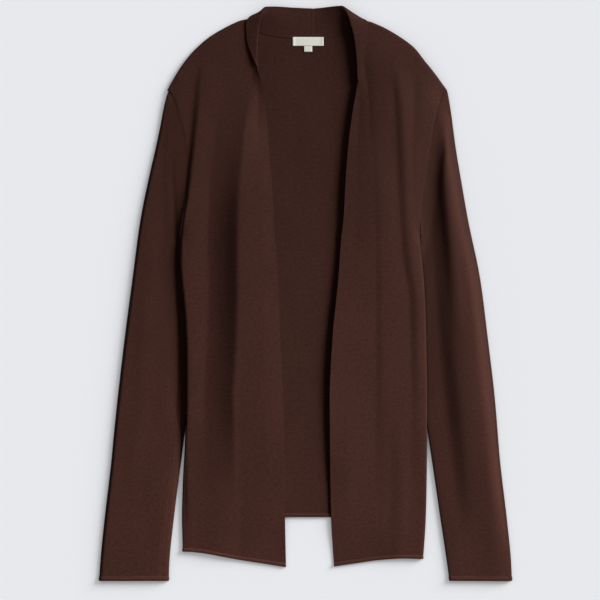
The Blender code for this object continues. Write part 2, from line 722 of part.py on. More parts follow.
def make_labels(finish):
    steps = spread((0, 1, LABEL_STEPS))
    sheet("neck_label", "right", steps, steps,
          lambda w, u: label_point(u, w, LABEL_SIZE, LABEL_TOP_Y), LABEL_WALL, finish)
    sheet("size_tab", "right", steps, steps,
          lambda w, u: label_point(u, w, TAB_SIZE, LABEL_TOP_Y - LABEL_SIZE[1] - SEAM_GAP),
          LABEL_WALL, finish)


for old in list(bpy.data.objects):
    bpy.data.objects.remove(old, do_unlink=True)
PARTS = bpy.data.collections.new("knit_cardigan")
bpy.context.scene.collection.children.link(PARTS)

knit = material("brown_knit", KNIT, 0.85)
woven = material("cream_label", LABEL, 0.7)
make_back(knit)
for name in SIGN:
    make_front(name, knit)
    make_sleeve(name, knit)
make_labels(woven)
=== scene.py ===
# %% [markdown]
# # A knitted cardigan, laid flat
#
# This lesson dresses a plain model of an open-front cardigan: a back, two fronts that run up
# into a rolled shawl collar, two sleeves, and a small woven label inside the neck. The plain
# model already has the true size and the large folds. Here each panel becomes a finer sheet of
# cloth with its own soft creases, seams, turned hems and knitted surface.
#
# Sizes are in millimetres until a mesh is made. "out" is the distance from the centre line,
# "y" the distance up the garment towards the neck, and "z" the height above the floor.

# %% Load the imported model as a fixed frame
import math
from collections import namedtuple

import bmesh
import bpy
import numpy as np
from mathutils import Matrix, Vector, noise


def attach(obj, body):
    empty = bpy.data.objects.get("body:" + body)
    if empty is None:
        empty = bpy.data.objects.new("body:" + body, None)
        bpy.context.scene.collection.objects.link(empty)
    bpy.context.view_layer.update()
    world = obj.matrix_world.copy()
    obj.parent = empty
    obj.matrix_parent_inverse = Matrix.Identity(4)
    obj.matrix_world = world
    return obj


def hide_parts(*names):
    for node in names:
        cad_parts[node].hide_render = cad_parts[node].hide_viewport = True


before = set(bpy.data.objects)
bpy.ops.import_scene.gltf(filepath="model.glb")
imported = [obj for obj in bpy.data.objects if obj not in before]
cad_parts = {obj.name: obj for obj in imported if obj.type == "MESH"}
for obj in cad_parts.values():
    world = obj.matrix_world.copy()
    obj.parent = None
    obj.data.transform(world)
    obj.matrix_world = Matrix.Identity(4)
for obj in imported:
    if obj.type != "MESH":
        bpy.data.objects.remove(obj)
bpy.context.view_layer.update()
print("nodes:", sorted(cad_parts))

# %% [markdown]
# ## Camera, floor and light
#
# The garment lies on a pale floor and is seen from straight above, so the camera looks down and
# is far away, as a long lens is: nothing leans. A low, broad light from the upper right grazes
# the folds and throws soft shadows to the left and down, and a pale sky fills the rest. A low
# key light is the usual way to show relief in dark cloth, since a high one flattens it. A second
# lamp beside the key, with a narrow cone, makes the lower half a little brighter, as the picture
# has it. It stands in the key's direction, so that it doesn't fill the shadows of the folds.

# %% Camera
MM = 0.001
FLOOR_WIDTH = 780.0            # width of the floor that the picture shows
AIM = (-6.9, -8.5)             # middle of the picture
LENS = 100.0
SENSOR = 36.0

camera_data = bpy.data.cameras.new("camera")
camera_data.lens = LENS
camera_data.sensor_width = SENSOR
camera = bpy.data.objects.new("camera", camera_data)
camera.location = (AIM[0] * MM, AIM[1] * MM, FLOOR_WIDTH * LENS / SENSOR * MM)
bpy.context.collection.objects.link(camera)
bpy.context.scene.camera = camera
print("camera height:", round(camera.location.z, 3), "m")

# %% Floor
FLOOR_COLOUR = (0.5436, 0.5496, 0.5686, 1.0)
FLOOR_HALF = 6.0               # metres, more than the picture shows


def new_material(name, settings):
    """A material, and its shader with some of its inputs set."""
    made = bpy.data.materials.new(name)
    made.use_nodes = True
    shader = made.node_tree.nodes["Principled BSDF"]
    for label, value in settings.items():
        shader.inputs[label].default_value = value
    return made, shader


def new_piece(name, bm, material):
    """An object with a smooth mesh in one material."""
    mesh = bpy.data.meshes.new(name)
    bm.to_mesh(mesh)
    bm.free()
    mesh.polygons.foreach_set("use_smooth", [True] * len(mesh.polygons))
    mesh.materials.append(material)
    piece = bpy.data.objects.new(name, mesh)
    bpy.context.collection.objects.link(piece)
    return piece


paper, _ = new_material("floor_paper", {"Base Color": FLOOR_COLOUR, "Roughness": 0.9,
                                        "Specular IOR Level": 0.1})
bm = bmesh.new()
bmesh.ops.create_grid(bm, x_segments=1, y_segments=1, size=FLOOR_HALF)
floor = new_piece("floor", bm, paper)
print("floor:", 2 * FLOOR_HALF, "m wide")

# %% Lights
LIGHT_AZIMUTH = 33.0           # degrees up from the picture's right
LIGHT_HEIGHT = 18.5            # degrees above the floor
LIGHT_SIZE = 29.0              # angle that the light fills, in degrees
KEY_SHARE = 0.605              # what the key light adds to a flat surface
SKY_SHARE = 0.12               # what the sky adds to it
HEM_LAMP_SHARE = 0.86          # what the second lamp adds near the hem
HEM_LAMP_AIM = (0.0, -0.42, 0.0)
HEM_LAMP_AWAY = 2.2            # metres from the hem to the second lamp
HEM_LAMP_CONE = 27.0           # degrees
FLOOR_SHARE = 0.75             # extra light for the floor alone
FLOOR_LIGHT_SIZE = 170.0       # degrees: almost all the sky, so its shadows are very soft


def add_light(name, kind, towards):
    """A light that shines from a direction, and its settings."""
    data = bpy.data.lights.new(name, kind)
    light = bpy.data.objects.new(name, data)
    light.rotation_mode = "QUATERNION"
    light.rotation_quaternion = towards.to_track_quat("Z", "Y")
    bpy.context.collection.objects.link(light)
    return light, data


def add_sun(name, towards, size, share):
    """A sun that brings a share of full light to a flat surface."""
    sun, data = add_light(name, "SUN", towards)
    data.angle = math.radians(size)
    data.energy = share * math.pi / towards.z
    return sun


def link_floor(light, name, state):
    """Lets a light reach the floor alone ("INCLUDE") or all but the floor ("EXCLUDE")."""
    reached = bpy.data.collections.new(name)
    reached.objects.link(floor)
    reached.collection_objects[0].light_linking.link_state = state
    light.light_linking.receiver_collection = reached


azimuth, height = math.radians(LIGHT_AZIMUTH), math.radians(LIGHT_HEIGHT)
towards_light = Vector((math.cos(azimuth) * math.cos(height),
                        math.sin(azimuth) * math.cos(height), math.sin(height)))
add_sun("broad_key", towards_light, LIGHT_SIZE, KEY_SHARE)
hem_lamp, hem_data = add_light("hem_lamp", "SPOT", towards_light)
hem_data.spot_size = math.radians(HEM_LAMP_CONE)
hem_data.spot_blend = 1.0
hem_data.shadow_soft_size = HEM_LAMP_AWAY * math.tan(math.radians(LIGHT_SIZE / 2))
hem_data.energy = HEM_LAMP_SHARE * (2 * math.pi * HEM_LAMP_AWAY) ** 2 / towards_light.z
hem_lamp.location = Vector(HEM_LAMP_AIM) + towards_light * HEM_LAMP_AWAY
link_floor(hem_lamp, "all_but_floor", "EXCLUDE")
floor_light = add_sun("floor_light", Vector((0, 0, 1)), FLOOR_LIGHT_SIZE, FLOOR_SHARE)
link_floor(floor_light, "floor_only", "INCLUDE")

sky = bpy.data.worlds.new("soft_sky")
sky.use_nodes = True
sky_light = sky.node_tree.nodes["Background"]
sky_light.inputs["Color"].default_value = (1.0, 1.0, 1.0, 1.0)
sky_light.inputs["Strength"].default_value = SKY_SHARE
bpy.context.scene.world = sky
bpy.context.scene.view_settings.view_transform = "Standard"
print("key light from", [round(v, 2) for v in towards_light])

# %% [markdown]
# ## The garment's measurements
#
# Cloth has few exact sizes, so it is described by short tables: where the folded sides, the
# armholes, the shoulders and the free front edges run, and how high each large fold stands.
# The same tables shaped the plain model, so a fine panel drops exactly on its plain one.

# %% Sizes of the cloth
CLOTH = 1.5                    # wall of the knitted cloth
SEAM_GAP = 0.3                 # between two pieces that are sewn together
LYING = CLOTH / 2              # middle of a layer that lies on the surface
RESTING = 2.65                 # middle of a layer that lies on another layer
FOLD_REACH = 3.2               # how far a folded side bulges out past its upper layer
UNDERARM_Y = 75.0              # height of the underarm in the laid garment
SIGN = {"left": -1.0, "right": 1.0}
print("cloth wall:", CLOTH, "mm, gap at seams:", SEAM_GAP, "mm")

# %% Outlines of the body and the sleeves
Sides = namedtuple("Sides", "y left right")
Hem = namedtuple("Hem", "out left right")
SleeveEdges = namedtuple("SleeveEdges", "y outer_left inner_left outer_right inner_right")


def rows_of(kind, rows):
    """A table whose rows have named columns."""
    return [kind(*row) for row in rows]


# outline of the folded sides of the body, from the hem up to the underarm
BODY_SIDE = rows_of(Sides, [
    (-347, 158.9, 152.2), (-327, 158.8, 153.8), (-295, 159.6, 155.8), (-250, 158.6, 157.0),
    (-190, 155.4, 157.6), (-138, 153.8, 157.8), (-73, 153.9, 156.9), (-34, 155.6, 156.0),
    (5, 159.0, 154.3), (44, 162.3, 151.4), (76, 163.0, 150.4),
])
# armhole seam, from the underarm up to the shoulder point
ARMHOLE = rows_of(Sides, [
    (75, 161.6, 149.0), (115, 156.4, 150.6), (160, 153.9, 157.6), (200, 157.5, 163.0),
    (235, 165.2, 170.5), (262, 175.8, 180.6),
])
# outline of the shoulder, from the shoulder point up to the collar
SHOULDER = rows_of(Sides, [
    (265, 179.0, 182.8), (277.5, 173.3, 173.4), (290.5, 165.5, 163.6), (306, 155.1, 150.6),
    (322, 140.8, 137.6), (337.5, 121.5, 115.6), (346, 105.5, 100.0), (353, 89.0, 83.0),
    (358, 75.0, 69.0),
])
# free front edge and break line, from the hem up to where the edge starts to stand
FREE_EDGE = rows_of(Sides, [
    (-356, 25.1, 37.3), (-290, 26.4, 33.4), (-216, 27.4, 32.1), (-138, 29.0, 31.4), (-60, 32.9, 35.0),
    (18, 35.9, 42.6), (90, 40.6, 47.7),
])
BREAK_LINE = rows_of(Sides, [
    (-356, 84.0, 90.0), (-138, 83.6, 92.0), (18, 82.5, 92.0), (90, 81.5, 92.0),
])
# lower edge of the fronts, from the free edge out to the side seam
FRONT_HEM = rows_of(Hem, [
    (25, -355.6, -355.5), (40, -353.2, -354.3), (55, -350.8, -350.6), (80, -346.8, -347.6),
    (105, -342.8, -345.4), (130, -339.0, -343.6), (145, -337.0, -343.6), (160, -335.0, -346.5),
])
# both folded edges of the sleeves, from the cuff up
SLEEVES = rows_of(SleeveEdges, [
    (-373, 267.2, 178.1, 267.9, 187.9), (-346, 265.4, 177, 266.6, 184.2),
    (-294, 260.2, 171.6, 261.4, 176.4), (-216, 251.1, 161.8, 252.3, 165),
    (-190, 248.7, 158.4, 250.1, 161), (-138, 243.3, 152, 245.8, 154), (-60, 234.2, 146, 236.7, 146),
    (18, 224.0, 142, 226.7, 142), (96, 213.4, 140, 210.7, 140), (148, 203.0, 140, 201.6, 140),
    (187, 194.1, 140, 195.1, 140), (225, 186.2, 140, 190.0, 140), (258, 181.0, 140, 185.6, 140),
])
print("tables of", len(BODY_SIDE), "side rows and", len(SLEEVES), "sleeve rows")

# %% The strip that becomes the collar
Strip = namedtuple("Strip", "base_out base_y roll_out roll_y roll_z edge_out edge_y edge_z")

# the strip's base line, its roll line and its free edge, from the underarm up the front to the
# neck point and round to the centre back
STRIP = {
    "left": rows_of(Strip, [
        (81.5, 75.0, 60.0, 75.0, 8.0, 39.3, 75.0, 6.0),
        (80.5, 160.0, 61.0, 160.0, 8.4, 44.8, 160.0, 8.0),
        (79.0, 212.0, 61.5, 212.0, 7.2, 49.0, 212.0, 6.8),
        (72.0, 254.0, 60.5, 256.0, 7.0, 53.5, 257.0, 7.6),
        (69.0, 279.0, 62.0, 282.0, 7.6, 58.7, 283.0, 8.6),
        (69.2, 291.0, 62.0, 294.0, 8.0, 63.2, 294.5, 9.0),
        (70.0, 303.0, 62.8, 306.0, 8.4, 67.8, 306.0, 8.2),
        (71.5, 329.0, 62.0, 331.0, 8.0, 76.0, 331.0, 6.2),
        (71.9, 354.6, 59.3, 350.0, 7.8, 76.7, 350.5, 6.0),
        (70.2, 351.0, 57.0, 358.8, 8.2, 73.0, 358.0, 6.0),
        (67.3, 344.5, 55.0, 364.7, 8.0, 64.1, 362.7, 6.6),
        (62.1, 340.6, 53.2, 367.6, 7.6, 56.8, 367.6, 8.0),
        (56.3, 337.9, 50.6, 367.6, 6.0, 51.4, 371.8, 7.4),
        (42.0, 334.8, 38.1, 361.0, 3.4, 36.8, 372.3, 4.6),
        (19.9, 332.4, 18.6, 354.0, 1.8, 17.3, 371.2, 2.8),
        (-10.0, 332.0, -10.0, 352.0, 1.6, -10.0, 370.0, 2.6),
    ]),
    "right": rows_of(Strip, [
        (92.0, 75.0, 66.0, 75.0, 8.4, 48.6, 75.0, 10.0),
        (89.0, 160.0, 68.0, 160.0, 7.2, 53.0, 160.0, 7.6),
        (83.5, 212.0, 68.5, 212.0, 7.2, 58.0, 212.0, 7.4),
        (82.0, 256.0, 70.5, 257.0, 7.0, 65.2, 258.0, 6.8),
        (79.0, 280.0, 67.7, 280.0, 7.4, 69.8, 280.5, 7.4),
        (76.8, 291.0, 67.3, 292.0, 7.8, 72.6, 292.5, 7.8),
        (74.5, 302.0, 66.6, 304.0, 8.2, 75.8, 304.0, 8.4),
        (71.5, 329.0, 63.5, 330.0, 8.6, 80.0, 331.0, 8.4),
        (69.8, 354.6, 58.4, 350.0, 8.6, 80.5, 351.6, 6.8),
        (69.2, 352.6, 55.4, 359.0, 8.8, 72.4, 356.9, 6.2),
        (64.0, 345.2, 52.4, 366.0, 8.4, 62.0, 363.4, 6.8),
        (58.1, 341.3, 49.4, 368.4, 7.8, 53.4, 369.6, 8.2),
        (51.0, 338.3, 46.0, 368.4, 6.2, 46.6, 373.0, 8.0),
        (37.3, 334.8, 33.4, 361.0, 3.4, 32.1, 372.0, 4.8),
        (20.4, 332.3, 19.0, 354.0, 1.8, 18.5, 370.6, 2.8),
        (10.0, 332.0, 10.0, 352.0, 1.6, 10.0, 370.0, 2.6),
    ]),
}
NECK_POINT = 8                 # row of STRIP where the shoulder fold meets the collar
NECK_SEAM = 9                  # row of STRIP where the neck seam starts
EDGE_LIFTS = (1, 3)            # rows of STRIP between which its own heights take over
print("strip rows:", {side: len(rows) for side, rows in STRIP.items()})

# %% Heights of the large folds
Crest = namedtuple("Crest", "y out rise")
Fold = namedtuple("Fold", "towards_centre towards_side side_shape crest")


def fold(towards_centre, towards_side, side_shape, crest):
    """A ridge: its width on either side, the shape of its outer side, and the rows of its crest."""
    return Fold(towards_centre, towards_side, side_shape, rows_of(Crest, crest))


# how far the fronts stand off the back, apart from their folds
LOFT = rows_of(Sides, [
    (-330, 0.0, 0.0), (-260, 0.6, 0.2), (-180, 1.8, 0.8), (-60, 3.4, 1.8), (80, 3.8, 2.2),
    (200, 2.6, 2.0), (262, 1.8, 1.2), (355, 1.8, 1.4),
])
FRONT_FOLDS = {
    "left": [
        fold(230, 40, "ramp", [
            (320, 69.0, 0.0), (280, 69.0, 1.6), (251, 72.5, 3.4), (205, 76.7, 6.4), (186, 79.2, 7.8),
            (160, 81.7, 9.8), (121, 84.7, 12.4), (56, 85.7, 13.0), (-10, 85.7, 13.0), (-75, 87.7, 12.0),
            (-140, 91.2, 10.0), (-200, 90.7, 6.4), (-255, 89.7, 2.6), (-320, 88.7, 0.0),
        ]),
        fold(70, 7, "soft", [
            (300, 131.5, 0.0), (262, 136, 2.0), (200, 141.5, 3.2), (148, 147, 3.8), (121, 150.5, 4.4),
            (95, 155, 4.6), (56, 158.5, 4.6), (0, 155, 4.6), (-40, 151.5, 4.6), (-100, 150, 4.4),
            (-160, 151, 4.2), (-200, 152, 3.4), (-240, 152, 2.2), (-300, 150, 0.4),
        ]),
    ],
    "right": [
        fold(64, 120, "soft", [
            (352, 98, 0.0), (330, 104, 2.2), (303, 108, 4.8), (250, 110, 5.6), (200, 108, 4.2),
            (150, 103, 3.0), (90, 98, 1.8), (0, 90, 1.2), (-100, 86, 0.6), (-200, 84, 0.0),
        ]),
        fold(12, 20, "soft", [
            (300, 118, 0.0), (251, 125.5, 1.8), (186, 129, 2.0), (121, 132.0, 1.8), (56, 136.5, 1.7),
            (-9, 146, 1.8), (-74, 147.5, 1.4), (-140, 149, 0.9), (-240, 148, 0.0),
        ]),
    ],
}
# how high the upper layer of a sleeve lies over its lower layer, apart from its folds
SLEEVE_LOFT = rows_of(Sides, [
    (-373, 0.6, 0.3), (-300, 1.6, 0.8), (-200, 1.9, 1.0), (-100, 2.0, 1.2), (100, 1.8, 1.0),
    (262, 0.6, 0.6),
])
SLEEVE_FOLDS = {
    "left": [],
    "right": [
        fold(37, 90, "soft", [
            (262, 178, 0.0), (245, 178.5, 2.0), (215, 182.5, 4.8), (186, 187, 6.0), (150, 191, 6.8),
            (121, 194, 7.2), (56, 200.5, 7.0), (-9, 204.5, 6.8), (-74, 209, 6.6), (-139, 215, 6.2),
            (-204, 222.5, 4.4), (-269, 231.5, 2.6), (-340, 242, 0.0),
        ]),
        fold(11, 14, "soft", [
            (245, 176, 0.0), (225, 178, 1.6), (186, 178.5, 2.6), (150, 180, 2.6), (121, 182.5, 2.2),
            (56, 189, 1.6), (-9, 194, 1.0), (-60, 199, 0.0),
        ]),
    ],
}
print("large folds:", {side: len(FRONT_FOLDS[side]) + len(SLEEVE_FOLDS[side]) for side in SIGN})

# %% [markdown]
# ## Small creases
#
# Besides its large folds, knitwear that was smoothed out by hand keeps faint vertical waves.
# Each is a soft ridge with one steep side, as the large ones are, and slow noise stretched
# along the garment keeps the surface between them from looking ironed. Ridges placed one by
# one give control over where they show. Noise alone would not match a given garment.

# %% Faint creases, by panel
FRONT_CREASES = {
    "left": [
        fold(30, 34, "soft", [(-150, 118, 0.0), (-230, 112, 0.8), (-300, 108, 0.9), (-356, 104, 0.5)]),
        fold(10, 10, "soft", [(60, 56, 0.0), (-60, 50, 0.5), (-240, 46, 0.4), (-330, 44, 0.0)]),
    ],
    "right": [
        fold(16, 60, "soft", [
            (310, 88, 0.0), (290, 90, 0.4), (200, 94, 0.8), (60, 101, 1.3), (-80, 103, 1.2),
            (-200, 104, 0.7), (-280, 105, 0.0),
        ]),
        fold(30, 55, "soft", [
            (230, 60, 0.0), (186, 55, 1.0), (121, 49, 1.2), (56, 41, 0.1), (-9, 32, 1.0),
            (-74, 31, 1.8), (-139, 30, 1.9), (-204, 30, 1.4), (-260, 32, 0.1), (-308, 33, 0.0),
        ]),
        fold(10, 40, "soft", [
            (290, 152, 0.0), (251, 150, 0.9), (186, 147, 1.2), (121, 149, 0.7), (85, 151, 0.0),
        ]),
        fold(26, 24, "soft", [(-120, 68, 0.0), (-200, 66, 0.8), (-300, 70, 0.8), (-356, 72, 0.4)]),
        fold(14, 14, "soft", [(-150, 120, 0.0), (-240, 124, 0.7), (-350, 122, 0.4)]),
    ],
}
SLEEVE_CREASES = {
    "left": [
        fold(7, 7, "soft", [(240, 176, 0.0), (190, 178, 0.5), (110, 177, 0.4), (60, 176, 0.0)]),
        fold(16, 16, "soft", [(110, 196, 0.0), (0, 204, 0.4), (-160, 216, 0.4), (-340, 232, 0.0)]),
    ],
    "right": [
        fold(14, 14, "soft", [(60, 176, 0.0), (-40, 186, 0.8), (-180, 202, 0.8), (-340, 216, 0.0)]),
        fold(20, 20, "soft", [(-180, 236, 0.0), (-260, 244, 0.7), (-372, 250, 0.4)]),
    ],
}
WANDER = 0.45                  # height of the slow unevenness
WANDER_ACROSS = 46.0           # its usual width
WANDER_ALONG = 150.0           # and its usual length
WANDER_SEEDS = {"back": 3.1, "front": 17.7, "sleeve": 41.3}


def wander(layer, x, y):
    """Slow unevenness of a layer, from 0 to WANDER."""
    place = Vector((x / WANDER_ACROSS, y / WANDER_ALONG, WANDER_SEEDS[layer]))
    return WANDER * (0.5 + 0.5 * noise.noise(place))


print("creases:", sum(len(f) for f in (*FRONT_CREASES.values(), *SLEEVE_CREASES.values())))

# %% [markdown]
# ## Reading the tables smoothly
#
# A straight line from row to row would leave corners in the cloth. A cubic whose slope at each
# row is the harmonic mean of its two neighbours runs through the rows and never overshoots.

# %% Smooth curves through a table's column
def cubic(a, way_a, b, way_b, t):
    """Curve from a to b for t = 0 to 1, which leaves a along way_a and comes to b along way_b."""
    return ((2 * t**3 - 3 * t**2 + 1) * a + (t**3 - 2 * t**2 + t) * way_a
            + (3 * t**2 - 2 * t**3) * b + (t**3 - t**2) * way_b)


class Smooth:
    """A smooth curve through pairs, which never swings past them."""

    def __init__(self, pairs):
        self.keys, self.values = zip(*pairs)
        rises = [(self.values[k + 1] - self.values[k]) / (self.keys[k + 1] - self.keys[k])
                 for k in range(len(self.keys) - 1)]
        inner = [0.0 if a * b <= 0 else 2 * a * b / (a + b) for a, b in zip(rises, rises[1:])]
        self.slopes = [rises[0], *inner, rises[-1]]

    def __call__(self, at):
        if at <= self.keys[0]:
            return self.values[0]
        if at >= self.keys[-1]:
            return self.values[-1]
        i = next(k for k in range(1, len(self.keys)) if self.keys[k] > at) - 1
        span = self.keys[i + 1] - self.keys[i]
        return cubic(self.values[i], self.slopes[i] * span, self.values[i + 1],
                     self.slopes[i + 1] * span, (at - self.keys[i]) / span)


CURVES = {}


def curve(key, list_pairs):
    """The curve of a key. Its pairs are listed once, when it is first asked for."""
    if key not in CURVES:
        CURVES[key] = Smooth(list_pairs())
    return CURVES[key]


def read(table, column, at):
    """One column of a table at a value of the table's first column."""
    return curve((id(table), column),
                 lambda: sorted((row[0], getattr(row, column)) for row in table))(at)


def station(table, column, place):
    """One column at a place counted in rows: 2.5 is half way from row 2 to row 3."""
    return curve((id(table), column, "rows"),
                 lambda: [(k, getattr(row, column)) for k, row in enumerate(table)])(place)


def mix(a, b, t):
    """From a to b for t = 0 to 1."""
    return a + (b - a) * t


def ease(t):
    """0 up to t = 0, 1 from t = 1, and a soft step between."""
    t = min(max(t, 0.0), 1.0)
    return t * t * (3 - 2 * t)


print("body side half way up, left:", round(read(BODY_SIDE, "left", -150), 1), "mm")

# %% [markdown]
# ## How high each layer lies
#
# The back rests on the floor. A front lies on the back, one wall higher, and past the back's
# hem it comes down to the floor. Folds, creases and unevenness are added on top. Both layers
# share the back's unevenness, so that they never cross.

# %% Heights of the back and the fronts
CREST_ROUND = 0.08             # rounding of a ramp's crest, as a share of its width
BACK_HEM_Y = -290.5            # straight middle of the back hem
BACK_HEM_HALF = 75.0           # half the length of that straight middle
DRAPE_START = 4.0              # length of a front below the back hem that is still held up by it
LONG_DRAPE = 62.0              # length over which a front comes down past the back's hem
DRAPE_HALF = 105.0             # distance out up to which the fronts hang past the back hem
DRAPE_FADE = 70.0              # width over which the drape past the back's hem dies out


def slope_of(shape, t):
    """Height of a fold's side, from 1 at its crest to 0 at its foot: soft at both ends, or a
    ramp that keeps rising up to the crest."""
    if shape == "soft":
        return (1 - t * t) ** 2
    whole = math.hypot(1, CREST_ROUND) - CREST_ROUND
    rounded = (math.hypot(t, CREST_ROUND) - CREST_ROUND) / whole
    return (1 - rounded) * (1 - rounded / 2)


def fold_height(folds, out, y):
    """Height that the soft folds add at a place: each is a ridge with two unlike sides."""
    total = 0.0
    for ridge in folds:
        away = out - read(ridge.crest, "out", y)
        if away > 0:
            share = slope_of(ridge.side_shape, min(away / ridge.towards_side, 1.0))
        else:
            share = slope_of("soft", min(-away / ridge.towards_centre, 1.0))
        total += read(ridge.crest, "rise", y) * share
    return total


def side_hem(side):
    """Lower end of a side seam."""
    out = BODY_SIDE[0]._asdict()[side]
    return out, read(FRONT_HEM, side, out)


def back_hem_y(out, side):
    """Lower edge of the back: straight in the middle, then down to the side seams."""
    end_out, end_y = side_hem(side)
    t = (abs(out) - BACK_HEM_HALF) / (end_out - BACK_HEM_HALF)
    return mix(BACK_HEM_Y, end_y, ease(t))


def back_rise(x, y):
    """How far the unevenness lifts the back off the floor."""
    return wander("back", x, y)


def front_height(side, out, y):
    """Middle of a front's cloth, above the floor."""
    past_hem = back_hem_y(out, side) + DRAPE_START - y
    support = mix(RESTING, LYING, ease(past_hem / LONG_DRAPE))
    support = mix(support, RESTING, ease((abs(out) - DRAPE_HALF) / DRAPE_FADE + 0.5))
    x = SIGN[side] * out
    return (support + read(LOFT, side, y) + back_rise(x, y) + wander("front", x, y) - WANDER / 2
            + fold_height(FRONT_FOLDS[side], out, y) + fold_height(FRONT_CREASES[side], out, y))


print("front at the chest:", round(front_height("left", 100, 60), 2), "mm")

# %% Outlines of the shoulder and the armhole, and the folded sides
SLOPE_STEP = 2.0               # step used to measure the slope of an outline
TURN_STEP = 0.02               # the same along the armhole, as a share of it
UNDERARM_FADE = 40.0           # length over which the side folds grow below the underarm
FOLD_SQUARENESS = 0.5          # power of the folded sides' round section, 1 for a plain ellipse


def shoulder_frame(side, out):
    """Place on the shoulder outline at a distance out, and its normal, away from the garment."""
    ridge = curve(("shoulder", side),
                  lambda: sorted((getattr(row, side), row.y) for row in SHOULDER))
    slope = (ridge(out + SLOPE_STEP) - ridge(out - SLOPE_STEP)) / (2 * SLOPE_STEP)
    length = math.hypot(slope, 1)
    return ridge(out), -slope / length, 1 / length


def armhole_point(side, t):
    """Place on the armhole seam, t = 0 at the underarm and 1 at the shoulder point."""
    y = mix(ARMHOLE[0].y, ARMHOLE[-1].y, t)
    return read(ARMHOLE, side, y), y


def armhole_normal(side, t):
    """Direction across the armhole seam, from the body to the sleeve."""
    out_0, y_0 = armhole_point(side, max(t - TURN_STEP, 0))
    out_1, y_1 = armhole_point(side, min(t + TURN_STEP, 1))
    length = math.hypot(out_1 - out_0, y_1 - y_0)
    return (y_1 - y_0) / length, -(out_1 - out_0) / length


def side_bulge(y):
    """How far the folded side stands out past its upper layer: nothing at the underarm."""
    return FOLD_REACH * ease((UNDERARM_Y - y) / UNDERARM_FADE)


def roll_over(out, y, top, normal, bulge, turn):
    """Point on a folded side: turn = 0 where the upper layer ends and 1 on the surface."""
    angle = math.pi * (0.5 - turn)
    reach = bulge * max(math.cos(angle), 0.0) ** FOLD_SQUARENESS
    tall = math.copysign(abs(math.sin(angle)) ** FOLD_SQUARENESS, math.sin(angle))
    tall = mix(1 - 2 * turn, tall, bulge / FOLD_REACH)
    z = (top + LYING) / 2 + (top - LYING) / 2 * tall
    return out + normal[0] * reach, y + normal[1] * reach, z


print("armhole half way, left:", [round(v, 1) for v in armhole_point("left", 0.5)])

# %% [markdown]
# ## One front, from its hem to the centre back of the collar
#
# A shawl collar has no seam between itself and the front: the same cloth runs up, rolls over
# and goes round the neck. So a front is one sheet with two coordinates. r runs along it, from
# the hem (0) past the underarm (1), the shoulder fold (2) and the neck seam (3) to the centre
# back (4). c runs across it, from the free edge (0) over the roll line (1) and the base line
# (2) to the armhole (3) and round the folded side (4).

# %% A front's rims and lines
UNDERARM_BACK_OFF = 0.9        # of the front's cloth from the end of the armhole
END_SHARE = 1 / 6              # share of the armhole next to an end where its edges draw together
BREAK_SHARE = 0.4              # where the roll line runs below the underarm, from edge to base line
NECK_REACH = 1.0               # how far the shoulder fold bulges out where it meets the collar


def side_line(side, y):
    """Where the upper layer of a front goes over into the side fold."""
    underarm = armhole_point(side, 0)[0] - UNDERARM_BACK_OFF
    return mix(underarm, read(BODY_SIDE, side, y) - FOLD_REACH,
               ease((UNDERARM_Y - y) / UNDERARM_FADE))


def front_rim(side, r):
    """Where the upper layer of a front ends: side fold (r <= 1) or armhole (r <= 2)."""
    if r <= 1:
        y = mix(side_hem(side)[1], UNDERARM_Y, r)
        return side_line(side, y), y
    out, y = armhole_point(side, r - 1)
    across = armhole_normal(side, r - 1)
    back_off = mix(UNDERARM_BACK_OFF, SEAM_GAP / 2, ease((r - 1) / END_SHARE))
    return out - across[0] * back_off, y - across[1] * back_off


def strip_place(side, r):
    """Row of the strip's table for a row of the front above the underarm."""
    if r <= 2:
        return (r - 1) * NECK_POINT
    if r <= 3:
        return mix(NECK_POINT, NECK_SEAM, r - 2)
    return mix(NECK_SEAM, len(STRIP[side]) - 1, r - 3)


def base_point(side, r):
    """Base line of the strip: break line below, then the foot of the collar and its neck seam."""
    if r <= 1:
        out = read(BREAK_LINE, side, mix(BREAK_LINE[0].y, UNDERARM_Y, r))
        y = mix(read(FRONT_HEM, side, out), UNDERARM_Y, r)
        return out, y, front_height(side, out, y)
    place = strip_place(side, r)
    out = station(STRIP[side], "base_out", place)
    y = station(STRIP[side], "base_y", place)
    if r <= 2:
        return out, y, front_height(side, out, y)
    if r <= 3:
        _, *normal = shoulder_frame(side, out)
        return roll_over(out, y, front_height(side, out, y), normal, NECK_REACH, r - 2)
    return out, y, LYING


def edge_and_roll(side, r):
    """Free edge and roll line of the strip at a row."""
    if r <= 1:
        out = read(FREE_EDGE, side, mix(FREE_EDGE[0].y, UNDERARM_Y, r))
        y = mix(read(FRONT_HEM, side, out), UNDERARM_Y, r)
        base_out, base_y, _ = base_point(side, r)
        middle = mix(out, base_out, BREAK_SHARE), mix(y, base_y, BREAK_SHARE)
        return (out, y, front_height(side, out, y)), (*middle, front_height(side, *middle))
    table, place = STRIP[side], strip_place(side, r)
    lifted = ease((place - EDGE_LIFTS[0]) / (EDGE_LIFTS[1] - EDGE_LIFTS[0]))
    points = []
    for name in ("edge", "roll"):
        out, y, z = (station(table, f"{name}_{axis}", place) for axis in ("out", "y", "z"))
        points.append((out, y, mix(front_height(side, out, y), z, lifted)))
    return points


print("free edge at the underarm:", [round(v, 1) for v in edge_and_roll("left", 1)[0]])

# %% The folded side stands over the sleeve
TUCK = 2.4                     # how far the foot of the folded side lies back under it
TUCK_TURN = (0.3, 0.7)         # the part of the fold's turn in which it draws back
TUCK_END = -182.0              # above this height the sleeve lies against the body
TUCK_FADE = 22.0               # length over which it draws away
TUCK_START = 12.0              # length below the underarm over which it begins


